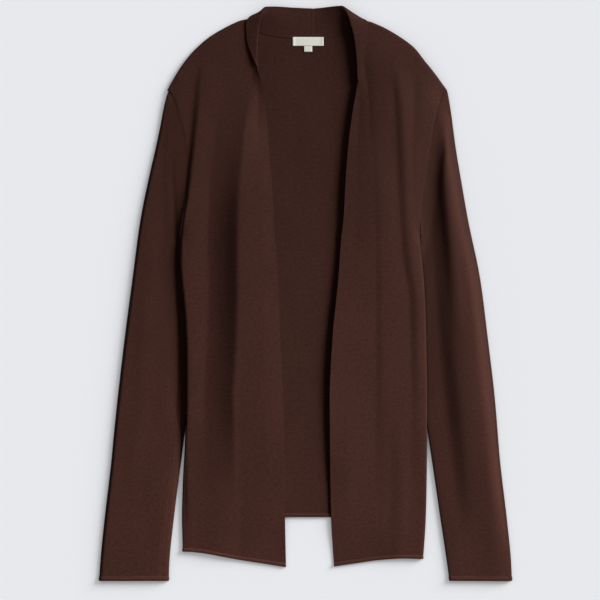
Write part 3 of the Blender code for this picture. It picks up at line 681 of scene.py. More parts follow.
def tuck(y):
    """How far the foot of the folded side lies back at a height."""
    return TUCK * ease((UNDERARM_Y - y) / TUCK_START) * ease((y - TUCK_END) / TUCK_FADE)


def side_fold(rim, top, turn):
    """A folded side whose foot draws back, so that the sleeve can lie a little way under it."""
    out, y, z = roll_over(rim[0], rim[1], top, (1.0, 0.0), side_bulge(rim[1]), turn)
    return out - tuck(y) * ease((turn - TUCK_TURN[0]) / (TUCK_TURN[1] - TUCK_TURN[0])), y, z


print("foot of the side at the waist lies back", round(tuck(0), 1), "mm")

# %% A front's surface
ROLL_TURN = 0.22               # how widely the collar turns at its roll line: 1 is a loose roll
NECK_LEAN = 7                  # how soon the shoulder fold reaches its outline next to the neck
UNDERARM_RISE = 1.3            # of the upper layer over RESTING at both ends of the armhole
POINT_ABOVE = 2.0              # how much sooner a front has its own height above the underarm
POINT_BELOW = 5.0              # and below it, both compared with the shoulder
POINT_DEPTH = {"left": 0.15, "right": 0.3}     # how far a front comes down at the underarm
SHOULDER_DEPTH = {"left": 1.0, "right": 0.6}   # and at the shoulder
NEAR_RIM = 0.85                # share of a front's width, from the base line, with its own height


def bend(start, middle, end, t):
    """Smooth curve start - middle - end for t = 0 to 2, level where it ends."""
    across = [b - a for a, b in zip(start, end)]
    size = math.hypot(*across)
    along = [b - a for a, b in zip(middle, end)]
    level = math.hypot(*along[:2])
    a, b = (start, middle) if t <= 1 else (middle, end)
    reach = math.dist(a, b)
    turning = [d / size * reach * ROLL_TURN for d in across]
    if t <= 1:
        ta, tb = [q - p for p, q in zip(a, b)], turning
    else:
        t -= 1
        ta, tb = turning, (along[0] / level * reach, along[1] / level * reach, 0.0)
    return tuple(cubic(*parts, t) for parts in zip(a, ta, b, tb))


def front_point(side, r, c):
    """Point of a front.

    r: 0 hem, 1 underarm, 2 shoulder fold, 3 shoulder seam and neck seam, 4 centre back
    c: 0 free edge, 1 roll line, 2 base line, 3 side fold or armhole, 4 side seam
    """
    base = base_point(side, r)
    if c <= 2:
        edge, roll = edge_and_roll(side, r)
        return bend(edge, roll, base, c)
    rim = front_rim(side, min(r, 2))
    t = min(c, 3) - 2
    start = base_point(side, min(r, 2))
    out = mix(start[0], rim[0], t)
    if r <= 1:
        y = mix(mix(read(FRONT_HEM, side, out), UNDERARM_Y, r), rim[1], t * t)
    else:
        y = mix(start[1], rim[1], t) + shoulder_lean(side, t) * ease(min(r, 2) - 1)
    top = rim_height(side, out, y, t, r)
    if c > 3:
        return side_fold(rim, top, c - 3)
    if r > 2:
        _, *normal = shoulder_frame(side, out)
        bulge = mix(NECK_REACH, FOLD_REACH, ease(NECK_LEAN * t))
        return roll_over(out, y, top, normal, bulge, r - 2)
    return out, y, top


def shoulder_lean(side, t):
    """How far the shoulder fold rises above the straight line between its two ends."""
    ends = base_point(side, 2), front_rim(side, 2)

    def below_outline(out):
        ridge, _, rise = shoulder_frame(side, out)
        return ridge - FOLD_REACH * rise

    lean = below_outline(mix(ends[0][0], ends[1][0], t)) - mix(ends[0][1], ends[1][1], t)
    offsets = [below_outline(out) - y for out, y, *_ in ends]
    return lean - offsets[0] * (1 - t) ** NECK_LEAN - offsets[1] * t


def rim_height(side, out, y, t, r):
    """Height of the front, which comes down to the armhole's two ends."""
    if r > 1:
        from_end = min((r - 1) * POINT_ABOVE, max(2 - r, 0.0))
    else:
        from_end = (1 - r) * POINT_BELOW
    near_end = ease(1 - from_end / END_SHARE) * ease((t - NEAR_RIM) / (1 - NEAR_RIM))
    near_end *= mix(POINT_DEPTH[side], SHOULDER_DEPTH[side], ease(r - 1))
    return mix(front_height(side, out, y), RESTING + UNDERARM_RISE, near_end)


print("collar roll at the shoulder:", [round(v, 1) for v in front_point("left", 2, 1)])

# %% The back's surface
CENTRE_BACK = 10.0             # the centre back seam, right of the picture's centre line
RIM_TILT = 0.7                 # how far a sloping cut edge reaches past its own middle


def back_rim(side, r):
    """Outer edge of the back: side seam (r <= 1), then armhole."""
    out, y = front_rim(side, r)
    if r <= 1:
        fade = ease((UNDERARM_Y - y) / UNDERARM_FADE)
        return out - SEAM_GAP - mix(CLOTH / 2, RIM_TILT, fade) - tuck(y), y
    return out - (CLOTH / 2 + SEAM_GAP) * ease(1 - (r - 1) / END_SHARE), y


def back_top(side, c):
    """Upper edge of the back: neck seam for c = 0 to 1, shoulder seam for 1 to 2."""
    out, y, _ = front_point(side, 3, c + 1) if c > 1 else base_point(side, 4 - c)
    ways = []
    if c <= 1:
        roll = edge_and_roll(side, 4 - c)[1]
        size = math.dist((out, y), roll[:2])
        ways.append(((out - roll[0]) / size, (y - roll[1]) / size))
    if c >= 1:
        _, *normal = shoulder_frame(side, out)
        ways.append((-normal[0], -normal[1]))
    way = [sum(parts) for parts in zip(*ways)]
    back_off = len(ways) * (SEAM_GAP + RIM_TILT) / math.hypot(*way) ** 2
    return out + way[0] * back_off, y + way[1] * back_off


def back_point(side, r, c):
    """Point of the back: r as on the front, up to 2; c: 0 centre back, 1 neck point, 2 rim."""
    top_out, top_y = back_top(side, c)
    rim_out, rim_y = back_rim(side, r)
    full = back_top(side, 2)
    centre = SIGN[side] * CENTRE_BACK
    share = (top_out - centre) / (full[0] - centre)
    out = mix(centre, rim_out, share)
    if r <= 1:
        y = mix(back_hem_y(out, side), UNDERARM_Y, r)
    else:
        y = rim_y + (top_y - full[1]) * ease(r - 1)
    if r >= 2:
        out = top_out
    return out, y, LYING


print("back neck point:", [round(v, 1) for v in back_point("right", 2, 1)])

# %% [markdown]
# ## A sleeve is a flattened tube
#
# v runs from the cuff (0) to the armhole (1), and ring goes round: the upper layer (0 to 1),
# the inner fold, the lower layer and the outer fold (3 to 4). A closed grid keeps the two
# layers one piece of cloth, so the folds at both sides are round instead of two cut edges.

# %% A sleeve's surface
DOME_SHARE = {"left": 0.05, "right": 0.17}     # share of the width that rounds off outside
INNER_SHARE = 0.20             # share in which the upper layer comes down inside
INNER_LOW = {"left": 0.16, "right": 0.0}       # share that lies low next to the body
LOW_UNTIL = -200.0             # above which height it does
LOW_FADE = 60.0                # and the length over which that starts
OUTER_REACH = {"left": 1.1, "right": 3.2}      # how far the outer fold bulges out
INNER_REACH = 1.8              # and the inner one
FOLD_WAY = (1.0, 0.1)          # direction in which the outer fold bulges, below the shoulder
LEFT_CROWN = 0.25              # how boxy the left sleeve's section is
SLEEVE_RISE = 0.4              # of a sleeve's upper layer towards the armhole
SEAM_STEP = {"left": 0.6, "right": -0.4}       # of a sleeve over the body at the armhole
STEP_FADE = 5                  # how soon that step is reached from both ends of the armhole
ARM_CLEARANCE = 1.55           # from the folded side to the sleeve, wall middle to wall middle
ARM_UNDER = -0.9               # the same where the sleeve lies a little under the side
ROW_BOW = 9.0                  # how far the last rows of a sleeve keep away from the armhole
BOW_FROM = 0.7                 # share of its length after which they take on its curve
SNUG_FROM = 0.95               # share of its length after which it closes on the armhole
UNDERARM_GAP = 0.6             # between the sleeve and the body at the underarm


def sleeve_rows(side, v):
    """Ends of a row of the sleeve, v = 0 at the cuff and 1 at the armhole."""
    cuff = SLEEVES[0].y
    outer_y = mix(cuff, ARMHOLE[-1].y, v)
    inner_y = mix(cuff, ARMHOLE[0].y, v)
    outer = read(SLEEVES, f"outer_{side}", outer_y)
    body = side_line(side, inner_y) + side_bulge(inner_y)
    against = body + mix(ARM_CLEARANCE, ARM_UNDER, tuck(inner_y) / TUCK)
    inner = max(read(SLEEVES, f"inner_{side}", inner_y), against)
    return outer, outer_y, inner, inner_y


def sleeve_fold_way(side, v):
    """Direction in which the outer fold of a sleeve bulges."""
    _, *shoulder = shoulder_frame(side, front_rim(side, 2)[0])
    near = ease((v - 1) / END_SHARE + 1)
    way = [mix(a, b, near) for a, b in zip(FOLD_WAY, shoulder)]
    size = math.hypot(*way)
    return way[0] / size, way[1] / size


def outer_dome(side, s):
    """1 over most of the sleeve, coming down in a round curve to its outer edge."""
    return 1 - (1 - min(s / DOME_SHARE[side], 1)) ** 2


def sleeve_top_height(side, v, s, out, y):
    """Middle of the sleeve's upper layer: a low flat tube with its folds."""
    low = INNER_LOW[side] * ease((y - LOW_UNTIL) / LOW_FADE)
    flat = min(outer_dome(side, s), ease((1 - s - low) / INNER_SHARE))
    crown = math.sqrt(4 * s * (1 - s)) if side == "right" else flat ** LEFT_CROWN
    height = RESTING + SLEEVE_RISE * v + read(SLEEVE_LOFT, side, y) * crown
    height += fold_height(SLEEVE_FOLDS[side], out, y) * flat
    height += fold_height(SLEEVE_CREASES[side], out, y) * flat
    height += wander("sleeve", SIGN[side] * out, y) * flat
    step = SEAM_STEP[side] * ease(STEP_FADE * s) * ease(STEP_FADE * (1 - s))
    seam = front_point(side, 2 - s, 3)[2] + step
    return mix(height, seam, ease(1 - (1 - v) / (2 * (1 - SNUG_FROM))))


def sleeve_point(side, v, ring):
    """Point of a sleeve: v along it, ring 0-1 upper layer from outer to inner edge,
    1-2 inner fold, 2-3 lower layer back to the outer edge, 3-4 outer fold."""
    outer, outer_y, inner, inner_y = sleeve_rows(side, v)
    way = sleeve_fold_way(side, v)
    inner_bulge = INNER_REACH * ease((1 - v) / (2 * (1 - SNUG_FROM)))
    near_seam = ease((v - BOW_FROM) / (1 - BOW_FROM))
    keep_off = ROW_BOW * near_seam * ease((1 - v) / (1 - SNUG_FROM))
    reach = OUTER_REACH[side]
    start = (outer - way[0] * reach, outer_y - way[1] * reach)
    end = (inner + inner_bulge, inner_y)
    seam_start, seam_end = armhole_point(side, 1), armhole_point(side, 0)

    def layer(s):
        """Place in one layer of the row, s = 0 at its outer end and 1 at its inner end."""
        place = [mix(a, b, s) for a, b in zip(start, end)]
        seam = armhole_point(side, 1 - s)
        across = armhole_normal(side, 1 - s)
        chord = [mix(a, b, s) for a, b in zip(seam_start, seam_end)]
        off = mix(SEAM_GAP, UNDERARM_GAP, ease(1 - (1 - s) / END_SHARE))
        bowed = [p + q - r for p, q, r in zip(place, seam, chord)]
        target = [q + a * off for q, a in zip(seam, across)]
        snug = ease((v - SNUG_FROM) / (1 - SNUG_FROM))
        mixed = [mix(p, b, near_seam) for p, b in zip(place, bowed)]
        mixed[0] += keep_off * 4 * s * (1 - s)
        return tuple(mix(m, q, snug) for m, q in zip(mixed, target))

    if ring <= 1:
        out, y = layer(ring)
        return out, y, sleeve_top_height(side, v, ring, out, y)
    if ring <= 2:
        out, y = layer(1)
        top = sleeve_top_height(side, v, 1, out, y)
        return roll_over(out, y, top, (-1.0, 0.0), inner_bulge, ring - 1)
    if ring <= 3:
        out, y = layer(3 - ring)
        return out, y, LYING
    out, y = layer(0)
    top = sleeve_top_height(side, v, 0, out, y)
    return roll_over(out, y, top, way, reach, 4 - ring)


print("cuff corner:", [round(v, 1) for v in sleeve_point("left", 0, 0)])

# %% [markdown]
# ## Turning a surface into cloth
#
# A sheet is a grid of points with a thickness. Three things are worked out along the grid
# before it becomes a mesh. Distances measured over the surface say how far each point is from
# a hem or a seam. They give the cloth its turned hems, which are thicker and end in a row of
# stitching, and its seams, where the edge dips between two low ridges. At the armholes the seam
# stands up in a low welt instead. The same distances are the unrolled, cut pattern of the panel,
# and they become the UV map that the knit follows.

# %% Distances over the surface
def spread(*parts):
    """Row values made of stretches: each part is (start, end, segments)."""
    values = [parts[0][0]]
    for start, end, segments in parts:
        values += [mix(start, end, k / segments) for k in range(1, segments + 1)]
    return values


def lay_points(side, rows, columns, point, keep=None):
    """Grid of places in millimetres, with nan where there is no cloth."""
    places = np.full((len(rows), len(columns), 3), np.nan)
    for i, r in enumerate(rows):
        for j, c in enumerate(columns):
            if keep is None or keep(r, c):
                out, y, z = point(r, c)
                places[i, j] = (SIGN[side] * out, y, z)
    return places


def run_lengths(places, axis, start=0):
    """Distance over the surface along an axis of the grid, counted from one of its lines."""
    steps = np.linalg.norm(np.diff(places, axis=axis), axis=2)
    steps = np.nan_to_num(steps)
    lengths = np.concatenate([np.zeros_like(steps.take([0], axis=axis)),
                              np.cumsum(steps, axis=axis)], axis=axis)
    return lengths - lengths.take([start], axis=axis)


def outward(places, side):
    """Direction in which the right side of the cloth faces, at each point."""
    filled = np.nan_to_num(places)
    along = np.gradient(filled, axis=0)
    across = np.gradient(filled, axis=1)
    normal = np.cross(across, along) * SIGN[side]
    size = np.linalg.norm(normal, axis=2, keepdims=True)
    return normal / np.maximum(size, 1e-9)


chest = lay_points("left", [0.9], spread((2, 3, 20)), lambda r, c: front_point("left", r, c))
print("left chest, over the cloth:", round(float(run_lengths(chest, 1)[0, -1])), "mm")

# %% Profiles of a hem, a seam and a finished edge
HEM_DEPTH = 4.2                # from the edge to the row of stitching that holds a hem
HEM_WALL = 0.9                 # what the turned hem adds to the wall
HEM_STEP = 1.6                 # width over which that ends
HEM_GROOVE = 0.5               # depth of the stitching
STITCH_WIDTH = 0.8             # and its width
EDGE_DEPTH = 2.2               # width of the free edge that is thinner
EDGE_WALL = -1.0               # what that adds to the wall
EDGE_STEP = 3.0                # width over which that ends
SEAM_DIP = 0.3                 # depth of a seam
DIP_WIDTH = 0.9
SEAM_RIDGE = 0.3               # height of the ridge next to it
SEAM_RIDGE_AT = 2.2            # from the seam to the crest of its ridge
RIDGE_WIDTH = 1.3
SEAM_WELT = 0.4                # height of an armhole's seam


def bump(distance, at, width):
    """A round bump in a profile: 1 at a distance, fading to nothing."""
    return np.exp(-((distance - at) / width) ** 2)


def step_down(distance, at, width):
    """1 next to the edge and 0 past a distance."""
    t = np.clip((distance - at) / width + 0.5, 0, 1)
    return 1 - t * t * (3 - 2 * t)


def hem_profile(distance):
    """(height to add, wall to add) of a turned and stitched hem."""
    return (-HEM_GROOVE * bump(distance, HEM_DEPTH, STITCH_WIDTH),
            HEM_WALL * step_down(distance, HEM_DEPTH, HEM_STEP))


def seam_profile(distance):
    """(height to add, wall to add) of cloth that goes down into a seam."""
    ridge = SEAM_RIDGE * bump(distance, SEAM_RIDGE_AT, RIDGE_WIDTH)
    return ridge - SEAM_DIP * bump(distance, 0, DIP_WIDTH), 0 * distance


def welt_profile(distance):
    """(height to add, wall to add) of cloth that stands up a little at a seam."""
    return SEAM_WELT * bump(distance, 0, RIDGE_WIDTH), 0 * distance


def edge_profile(distance, up):
    """(height to add, wall to add) of the soft free edge, whose upper face stays level: up is 1
    where the right side of the cloth faces up and -1 where it is turned over."""
    thinner = EDGE_WALL * step_down(distance, EDGE_DEPTH, EDGE_STEP)
    return -thinner * up, thinner


print("hem wall:", CLOTH + HEM_WALL, "mm")

# %% From a grid to a mesh
UV_NAME = "cut"
WALL_GROUP = "wall"
THICKEST = CLOTH + HEM_WALL
MERGE = 1e-6                   # metres between points that close a grid
RIM_CREASE = 0.9               # how crisp the edges of the cloth are: 1 is cut, 0 is round


def make_sheet(name, side, places, pattern, details, finish, closed=False):
    """A panel: the grid of places, its pattern as UV, and its details as (profile, weight)."""
    relief = sum(profile[0] * weight for profile, weight in details)
    wall = CLOTH + sum(profile[1] * weight for profile, weight in details)
    shape = places + outward(places, side) * relief[..., None]
    shape[..., 2] = np.maximum(shape[..., 2] + (wall - CLOTH) / 2, wall / 2)
    across, along = places.shape[1] - 1, places.shape[0] - 1
    bm = bmesh.new()
    bmesh.ops.create_grid(bm, x_segments=across, y_segments=along, size=0.5)
    weights = bm.verts.layers.deform.verify()
    cut = bm.loops.layers.uv.new(UV_NAME)
    cells = {vertex: (round((vertex.co.y + 0.5) * along), round((vertex.co.x + 0.5) * across))
             for vertex in bm.verts}
    outside = []
    for vertex, (i, j) in cells.items():
        if np.isnan(places[i, j, 0]):
            outside.append(vertex)
            continue
        for loop in vertex.link_loops:
            loop[cut].uv = (pattern[0][i, j] * MM, pattern[1][i, j] * MM)
        vertex.co = shape[i, j] * MM
        vertex[weights][0] = wall[i, j] / THICKEST
    bmesh.ops.delete(bm, geom=outside, context="VERTS")
    if closed:
        bmesh.ops.remove_doubles(bm, verts=bm.verts, dist=MERGE)
    bmesh.ops.recalc_face_normals(bm, faces=bm.faces)
    piece = new_piece(name, bm, finish)
    piece.vertex_groups.new(name=WALL_GROUP)
    solid = piece.modifiers.new("cloth wall", "SOLIDIFY")
    solid.thickness = THICKEST * MM
    solid.offset = 0.0
    solid.vertex_group = WALL_GROUP
    solid.edge_crease_outer = RIM_CREASE
    solid.edge_crease_inner = RIM_CREASE
    round_off = piece.modifiers.new("soft edges", "SUBSURF")
    round_off.levels = 1
    round_off.render_levels = 1
    print(f"{name}: {len(piece.data.polygons)} faces of cloth")
    return piece


print("thickest wall:", THICKEST, "mm")

# %% [markdown]
# ## The knit
#
# Fine knitwear is rows of small V-shaped loops: each column of them is a wale and each row a
# course. From arm's length they melt into a soft matt surface with faint lines, so the loops
# only need a fine bump. What the eye does pick up is the yarn: its colour changes a little
# from course to course and in soft clouds, and its loose fibres catch light at a grazing angle,
# which is what the sheen of the shader is for. Two node groups, one for the loops and one for
# the tone of the yarn, are shared by all the knitted materials.

# %% Helpers for node groups
def new_group(name, inputs, outputs):
    """An empty shader group with named sockets: inputs are (name, type, value)."""
    group = bpy.data.node_groups.new(name, "ShaderNodeTree")
    for label, kind, value in inputs:
        socket = group.interface.new_socket(label, in_out="INPUT", socket_type=kind)
        if value is not None:
            socket.default_value = value
    for label, kind in outputs:
        group.interface.new_socket(label, in_out="OUTPUT", socket_type=kind)
    return group, group.nodes.new("NodeGroupInput"), group.nodes.new("NodeGroupOutput")


def add_math(tree, operation, *values, clamp=False):
    """A Math node; each value is a number or a socket. Returns its output socket."""
    node = tree.nodes.new("ShaderNodeMath")
    node.operation = operation
    node.use_clamp = clamp
    for socket, value in zip(node.inputs, values):
        if isinstance(value, (int, float)):
            socket.default_value = value
        else:
            tree.links.new(value, socket)
    return node.outputs[0]


def mix_colours(tree, factor, first, second, blend="MIX"):
    """A colour Mix node; each colour is a value or a socket. Returns its output socket."""
    node = tree.nodes.new("ShaderNodeMix")
    node.data_type = "RGBA"
    node.blend_type = blend
    tree.links.new(factor, node.inputs["Factor"])
    for label, colour in (("A", first), ("B", second)):
        if isinstance(colour, tuple):
            node.inputs[label].default_value = colour
        else:
            tree.links.new(colour, node.inputs[label])
    return node.outputs["Result"]


def cut_pattern(tree):
    """Place on the cut pattern of a piece, in metres."""
    node = tree.nodes.new("ShaderNodeUVMap")
    node.uv_map = UV_NAME
    return node.outputs["UV"]


def add_bump(tree, shader, height, strength, depth):
    """Relief from a height between 0 and 1; its depth is in millimetres."""
    relief = tree.nodes.new("ShaderNodeBump")
    relief.inputs["Strength"].default_value = strength
    relief.inputs["Distance"].default_value = depth * MM
    tree.links.new(height, relief.inputs["Height"])
    tree.links.new(relief.outputs["Normal"], shader.inputs["Normal"])


print("materials follow the UV map", UV_NAME)

# %% The loops of the knit
LEG_ROUND = 0.5                # power that shapes a leg of a loop across
YARN_ROUND = 0.6               # and the yarn along the wale: less than 1 is fuller


def make_loops():
    """Height of stocking-stitch loops. Vector is the cut pattern in metres."""
    group, given, result = new_group(
        "knit_loops",
        [("Vector", "NodeSocketVector", None), ("Wale mm", "NodeSocketFloat", 1.7),
         ("Course mm", "NodeSocketFloat", 1.3), ("Slant", "NodeSocketFloat", 0.9)],
        [("Height", "NodeSocketFloat")])

    def node(operation, *values):
        return add_math(group, operation, *values)

    parts = group.nodes.new("ShaderNodeSeparateXYZ")
    group.links.new(given.outputs["Vector"], parts.inputs[0])
    wales, courses = (node("DIVIDE", node("MULTIPLY", metres, 1 / MM), given.outputs[size])
                      for metres, size in zip(parts.outputs, ("Wale mm", "Course mm")))
    from_middle = node("ABSOLUTE", node("SUBTRACT", node("FRACT", wales), 0.5))
    row = node("SUBTRACT", courses, node("MULTIPLY", from_middle, given.outputs["Slant"]))
    leg = node("SINE", node("MULTIPLY", from_middle, 2 * math.pi))
    yarn = node("SINE", node("MULTIPLY", node("FRACT", row), math.pi))
    height = node("MULTIPLY", node("POWER", leg, LEG_ROUND), node("POWER", yarn, YARN_ROUND))
    group.links.new(height, result.inputs["Height"])
    return group


LOOPS = make_loops()
print("group:", LOOPS.name, [s.name for s in LOOPS.interface.items_tree])

# %% The tone of the yarn
CLOUDS = (22.0, 12.0, 3.0)     # noise scale across, scale along, and detail
STREAKS = (190.0, 290.0, 2.0)
FLECKS = (420.0, 480.0, 2.0)
CLOUD_SHARE = 0.7


def make_tone():
    """Mask from 0 to 1: soft clouds, streaks along the courses and short fibre flecks."""
    group, given, result = new_group(
        "yarn_tone",
        [("Vector", "NodeSocketVector", None), ("Streaks", "NodeSocketFloat", 0.35),
         ("Flecks", "NodeSocketFloat", 0.3)],
        [("Tone", "NodeSocketFloat")])

    def cloth_noise(scale_across, scale_along, detail):
        stretch = group.nodes.new("ShaderNodeMapping")
        stretch.vector_type = "POINT"
        stretch.inputs["Scale"].default_value = (scale_across, scale_along, 1.0)
        group.links.new(given.outputs["Vector"], stretch.inputs["Vector"])
        texture = group.nodes.new("ShaderNodeTexNoise")
        texture.inputs["Scale"].default_value = 1.0
        texture.inputs["Detail"].default_value = detail
        group.links.new(stretch.outputs["Vector"], texture.inputs["Vector"])
        return add_math(group, "SUBTRACT", texture.outputs["Fac"], 0.5)

    clouds = add_math(group, "MULTIPLY", cloth_noise(*CLOUDS), CLOUD_SHARE)
    streaks = add_math(group, "MULTIPLY", cloth_noise(*STREAKS), given.outputs["Streaks"])
    flecks = add_math(group, "MULTIPLY", cloth_noise(*FLECKS), given.outputs["Flecks"])
    total = add_math(group, "ADD", add_math(group, "ADD", clouds, streaks), flecks)
    group.links.new(add_math(group, "ADD", total, 0.5, clamp=True), result.inputs["Tone"])
    return group


TONE = make_tone()
print("group:", TONE.name, [s.name for s in TONE.interface.items_tree])

# %% Knitted materials
YARN_DARK = (0.0350, 0.0112, 0.0075, 1.0)
YARN_LIGHT = (0.0615, 0.0222, 0.0154, 1.0)
YARN_FINISH = {"Metallic": 0.0, "Specular IOR Level": 0.08, "Sheen Weight": 0.12,
               "Sheen Roughness": 0.5, "Sheen Tint": (0.85, 0.45, 0.34, 1.0)}
YARN_ROUGHNESS = 0.76          # where the tone is dark
ROUGHNESS_RANGE = 0.14         # and what the light tone adds
LOOP_BUMP = 0.55               # strength of the loops' relief
LOOP_BUMP_MM = 0.35            # and its depth
# painted shade: the valleys between the loops are darkened in colour, where shade would fall
VALLEY_SHADE_COLOUR = (0.72, 0.70, 0.70, 1.0)
VALLEY_SHADE_SHARE = 0.5             # how much of that painted shade lies between the loops
# painted shade: cloth seen at a grazing angle, on rims and steeply sloping sides, is darkened in colour
GRAZING_SHADE_FROM = 0.12               # how far cloth turns away from the eye before its painted shade starts
GRAZING_SHADE_FULL = 0.50               # and where that painted shade is darkest
GRAZING_SHADE_COLOUR = (0.24, 0.24, 0.26, 1.0)


def darker(colour, shade):
    """A colour times a shade, with its alpha kept."""
    return (*(part * shade for part in colour[:3]), 1.0)


def add_group(tree, group, place, **inputs):
    """A shared group at a place on the cut pattern, with its inputs set."""
    node = tree.nodes.new("ShaderNodeGroup")
    node.node_tree = group
    for label, value in inputs.items():
        node.inputs[label].default_value = value
    tree.links.new(place, node.inputs["Vector"])
    return node


def knitted(name, slant, streaks, flecks, shade=1.0):
    """A knit in brown yarn: slant is how steeply the legs of its loops lean."""
    made, shader = new_material(name, YARN_FINISH)
    tree = made.node_tree
    place = cut_pattern(tree)
    loops = add_group(tree, LOOPS, place, Slant=slant).outputs["Height"]
    tone = add_group(tree, TONE, place, Streaks=streaks, Flecks=flecks).outputs["Tone"]
    yarn = mix_colours(tree, tone, darker(YARN_DARK, shade), darker(YARN_LIGHT, shade))
    # painted shade: the low parts of the loops are darkened in colour
    deep = add_math(tree, "SUBTRACT", 1.0, loops, clamp=True)
    knit = mix_colours(tree, add_math(tree, "MULTIPLY", deep, VALLEY_SHADE_SHARE), yarn, VALLEY_SHADE_COLOUR,
                       "MULTIPLY")
    # painted shade: the colour darkens where the cloth turns away from the eye
    turned = tree.nodes.new("ShaderNodeLayerWeight")
    turned.inputs["Blend"].default_value = 0.5
    past = add_math(tree, "SUBTRACT", turned.outputs["Facing"], GRAZING_SHADE_FROM)
    steep = add_math(tree, "DIVIDE", past, GRAZING_SHADE_FULL - GRAZING_SHADE_FROM, clamp=True)
    tree.links.new(mix_colours(tree, steep, knit, GRAZING_SHADE_COLOUR, "MULTIPLY"),
                   shader.inputs["Base Color"])
    varied = add_math(tree, "MULTIPLY", tone, ROUGHNESS_RANGE)
    tree.links.new(add_math(tree, "ADD", varied, YARN_ROUGHNESS), shader.inputs["Roughness"])
    add_bump(tree, shader, loops, LOOP_BUMP, LOOP_BUMP_MM)
    return made


KNIT = knitted("brown_knit", 0.9, 1.55, 1.3)
# flatter loops for the inside face, and painted shade: its colour is darkened to 0.86 for the shade
# between the fronts
KNIT_INSIDE_SHADED = knitted("brown_knit_inside_shaded", 0.25, 1.5, 1.1, shade=0.86)
print("materials:", KNIT.name, KNIT_INSIDE_SHADED.name)

# %% [markdown]
# ## The back
#
# The back is one nearly flat panel. What shows of it, between the fronts, is its inside, where
# a plain knit looks smoother across and more ribbed along the courses. So it takes the same
# yarn with flatter loops, in a copy made a little darker: painted shade, since the back lies
# low between the fronts and the collar. Its hem is turned up and stitched, and its neckline
# ends in a seam.

# %% Make the back
ROWS_BODY = spread((0, 0.001, 1), (0.001, 0.022, 8), (0.022, 1, 70))
ROWS_ARM = spread((1, 2, 34))


def finish_sheet(piece, node):
    """Attaches a panel to the frame and hides its plain part."""
    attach(piece, "root")
    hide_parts(node)


back_rows = ROWS_BODY + ROWS_ARM[1:]
half = spread((0, 1, 10), (1, 2, 18))
back_columns = [-c for c in reversed(half[1:])] + half


def whole_back(r, c):
    """Point of the back in x, y, z: c runs from the left rim (-2) to the right rim (2)."""
    side = "right" if c >= 0 else "left"
    out, y, z = back_point(side, r, abs(c))
    x = SIGN[side] * out
    return x, y, z + back_rise(x, y)


back_places = lay_points("right", back_rows, back_columns, whole_back)
middle = len(half) - 1
across = run_lengths(back_places, 1, middle)
along = run_lengths(back_places, 0)
from_top = along[-1:] - along
back_details = [(hem_profile(along), 1.0), (seam_profile(from_top), 1.0)]
back = make_sheet("back_panel", "right", back_places, (across, along), back_details, KNIT_INSIDE_SHADED)

# %% [markdown]
# ## The fronts
#
# Each front carries the collar with it. Rows are close together near the hem, the neck seam
# and the centre back, and columns near the free edge and the armhole, because that is where
# the stitching needs a fine mesh. In between, wide steps are enough for soft folds.

# %% Make the fronts
FRONT_ROWS = ROWS_BODY + spread((1, 2, 38), (2, 3, 6), (3, 3.93, 20), (3.93, 4, 5))[1:]
FRONT_COLUMNS = spread((0, 0.02, 1), (0.02, 0.24, 4), (0.24, 0.84, 5), (0.84, 1, 3), (1, 1.16, 3),
                       (1.16, 1.8, 5), (1.8, 2, 3), (2, 2.92, 26), (2.92, 3, 5), (3, 4, 6))
WELT_FADE = 30                 # how soon the armhole's welt starts above the underarm
COLLAR_FROM = 2.6              # row above which the neck seam and the centre back are sewn
COLLAR_FADE = 0.4              # and the rows over which their dips start


def front_has(r, c):
    """Whether a front has cloth at a place of its grid."""
    return (c <= 3 or r <= 1) and (r <= 3 or c <= 2)


def make_front(side):
    """A front with its half of the collar, its hem and its seams."""
    def point(r, c):
        out, y, z = front_point(side, r, c)
        return out + SEAM_GAP / 2 * max(r - 3, 0), y, z

    rows = np.array(FRONT_ROWS)[:, None]
    base, rim = FRONT_COLUMNS.index(2), FRONT_COLUMNS.index(3)
    places = lay_points(side, FRONT_ROWS, FRONT_COLUMNS, point, front_has)
    across = run_lengths(places, 1, base)
    along = run_lengths(places, 0)
    columns = np.array(FRONT_COLUMNS)[None, :]
    above_underarm = np.clip((rows - 1) * WELT_FADE, 0, 1) * (columns <= 3)
    on_collar = np.clip((rows - COLLAR_FROM) / COLLAR_FADE, 0, 1) * (columns <= 2)
    details = [
        (hem_profile(along), 1.0),
        (edge_profile(across - across[:, :1], np.sign(outward(places, side)[..., 2])), 1.0),
        (welt_profile(across[:, rim:rim + 1] - across), above_underarm),
        (seam_profile(-across), on_collar),
        (seam_profile(along[-1:] - along), on_collar),
    ]
    return make_sheet(f"front_panel_{side}", side, places, (across, along), details, KNIT)


fronts = {side: make_front(side) for side in SIGN}

# %% [markdown]
# ## The sleeves
#
# A sleeve is one panel that is sewn into a tube along its underarm. The grid goes round that
# tube and closes on itself. On the left sleeve the seam has come to lie on top, near the inner
# fold: a flat seam, with a low rib between two lines of stitching. It is pressed into the sheet
# as a profile, like a hem. On the right sleeve it lies underneath and doesn't show.

# %% Make the sleeves
SLEEVE_ROWS = spread((0, 0.0008, 1), (0.0008, 0.022, 8), (0.022, 0.93, 84), (0.93, 0.988, 9),
                     (0.988, 1, 5))
SLEEVE_RING = spread((0, 0.08, 5), (0.08, 0.82, 14), (0.82, 0.96, 12), (0.96, 1, 2), (1, 2, 6),
                     (2, 3, 20), (3, 4, 6))
SLEEVE_SEAM = 3.0              # between the two lines of stitching of the sleeve's seam
SLEEVE_STITCH = 0.3            # their depth
SLEEVE_STITCH_WIDTH = 0.55     # and their width
SEAM_FROM_FOLD = 10.5          # from the left sleeve's inner fold to its seam
SEAM_HIDDEN = 0.56             # share of the sleeve's length above which the body hides it
SEAM_FADE = 10                 # how soon it starts below that


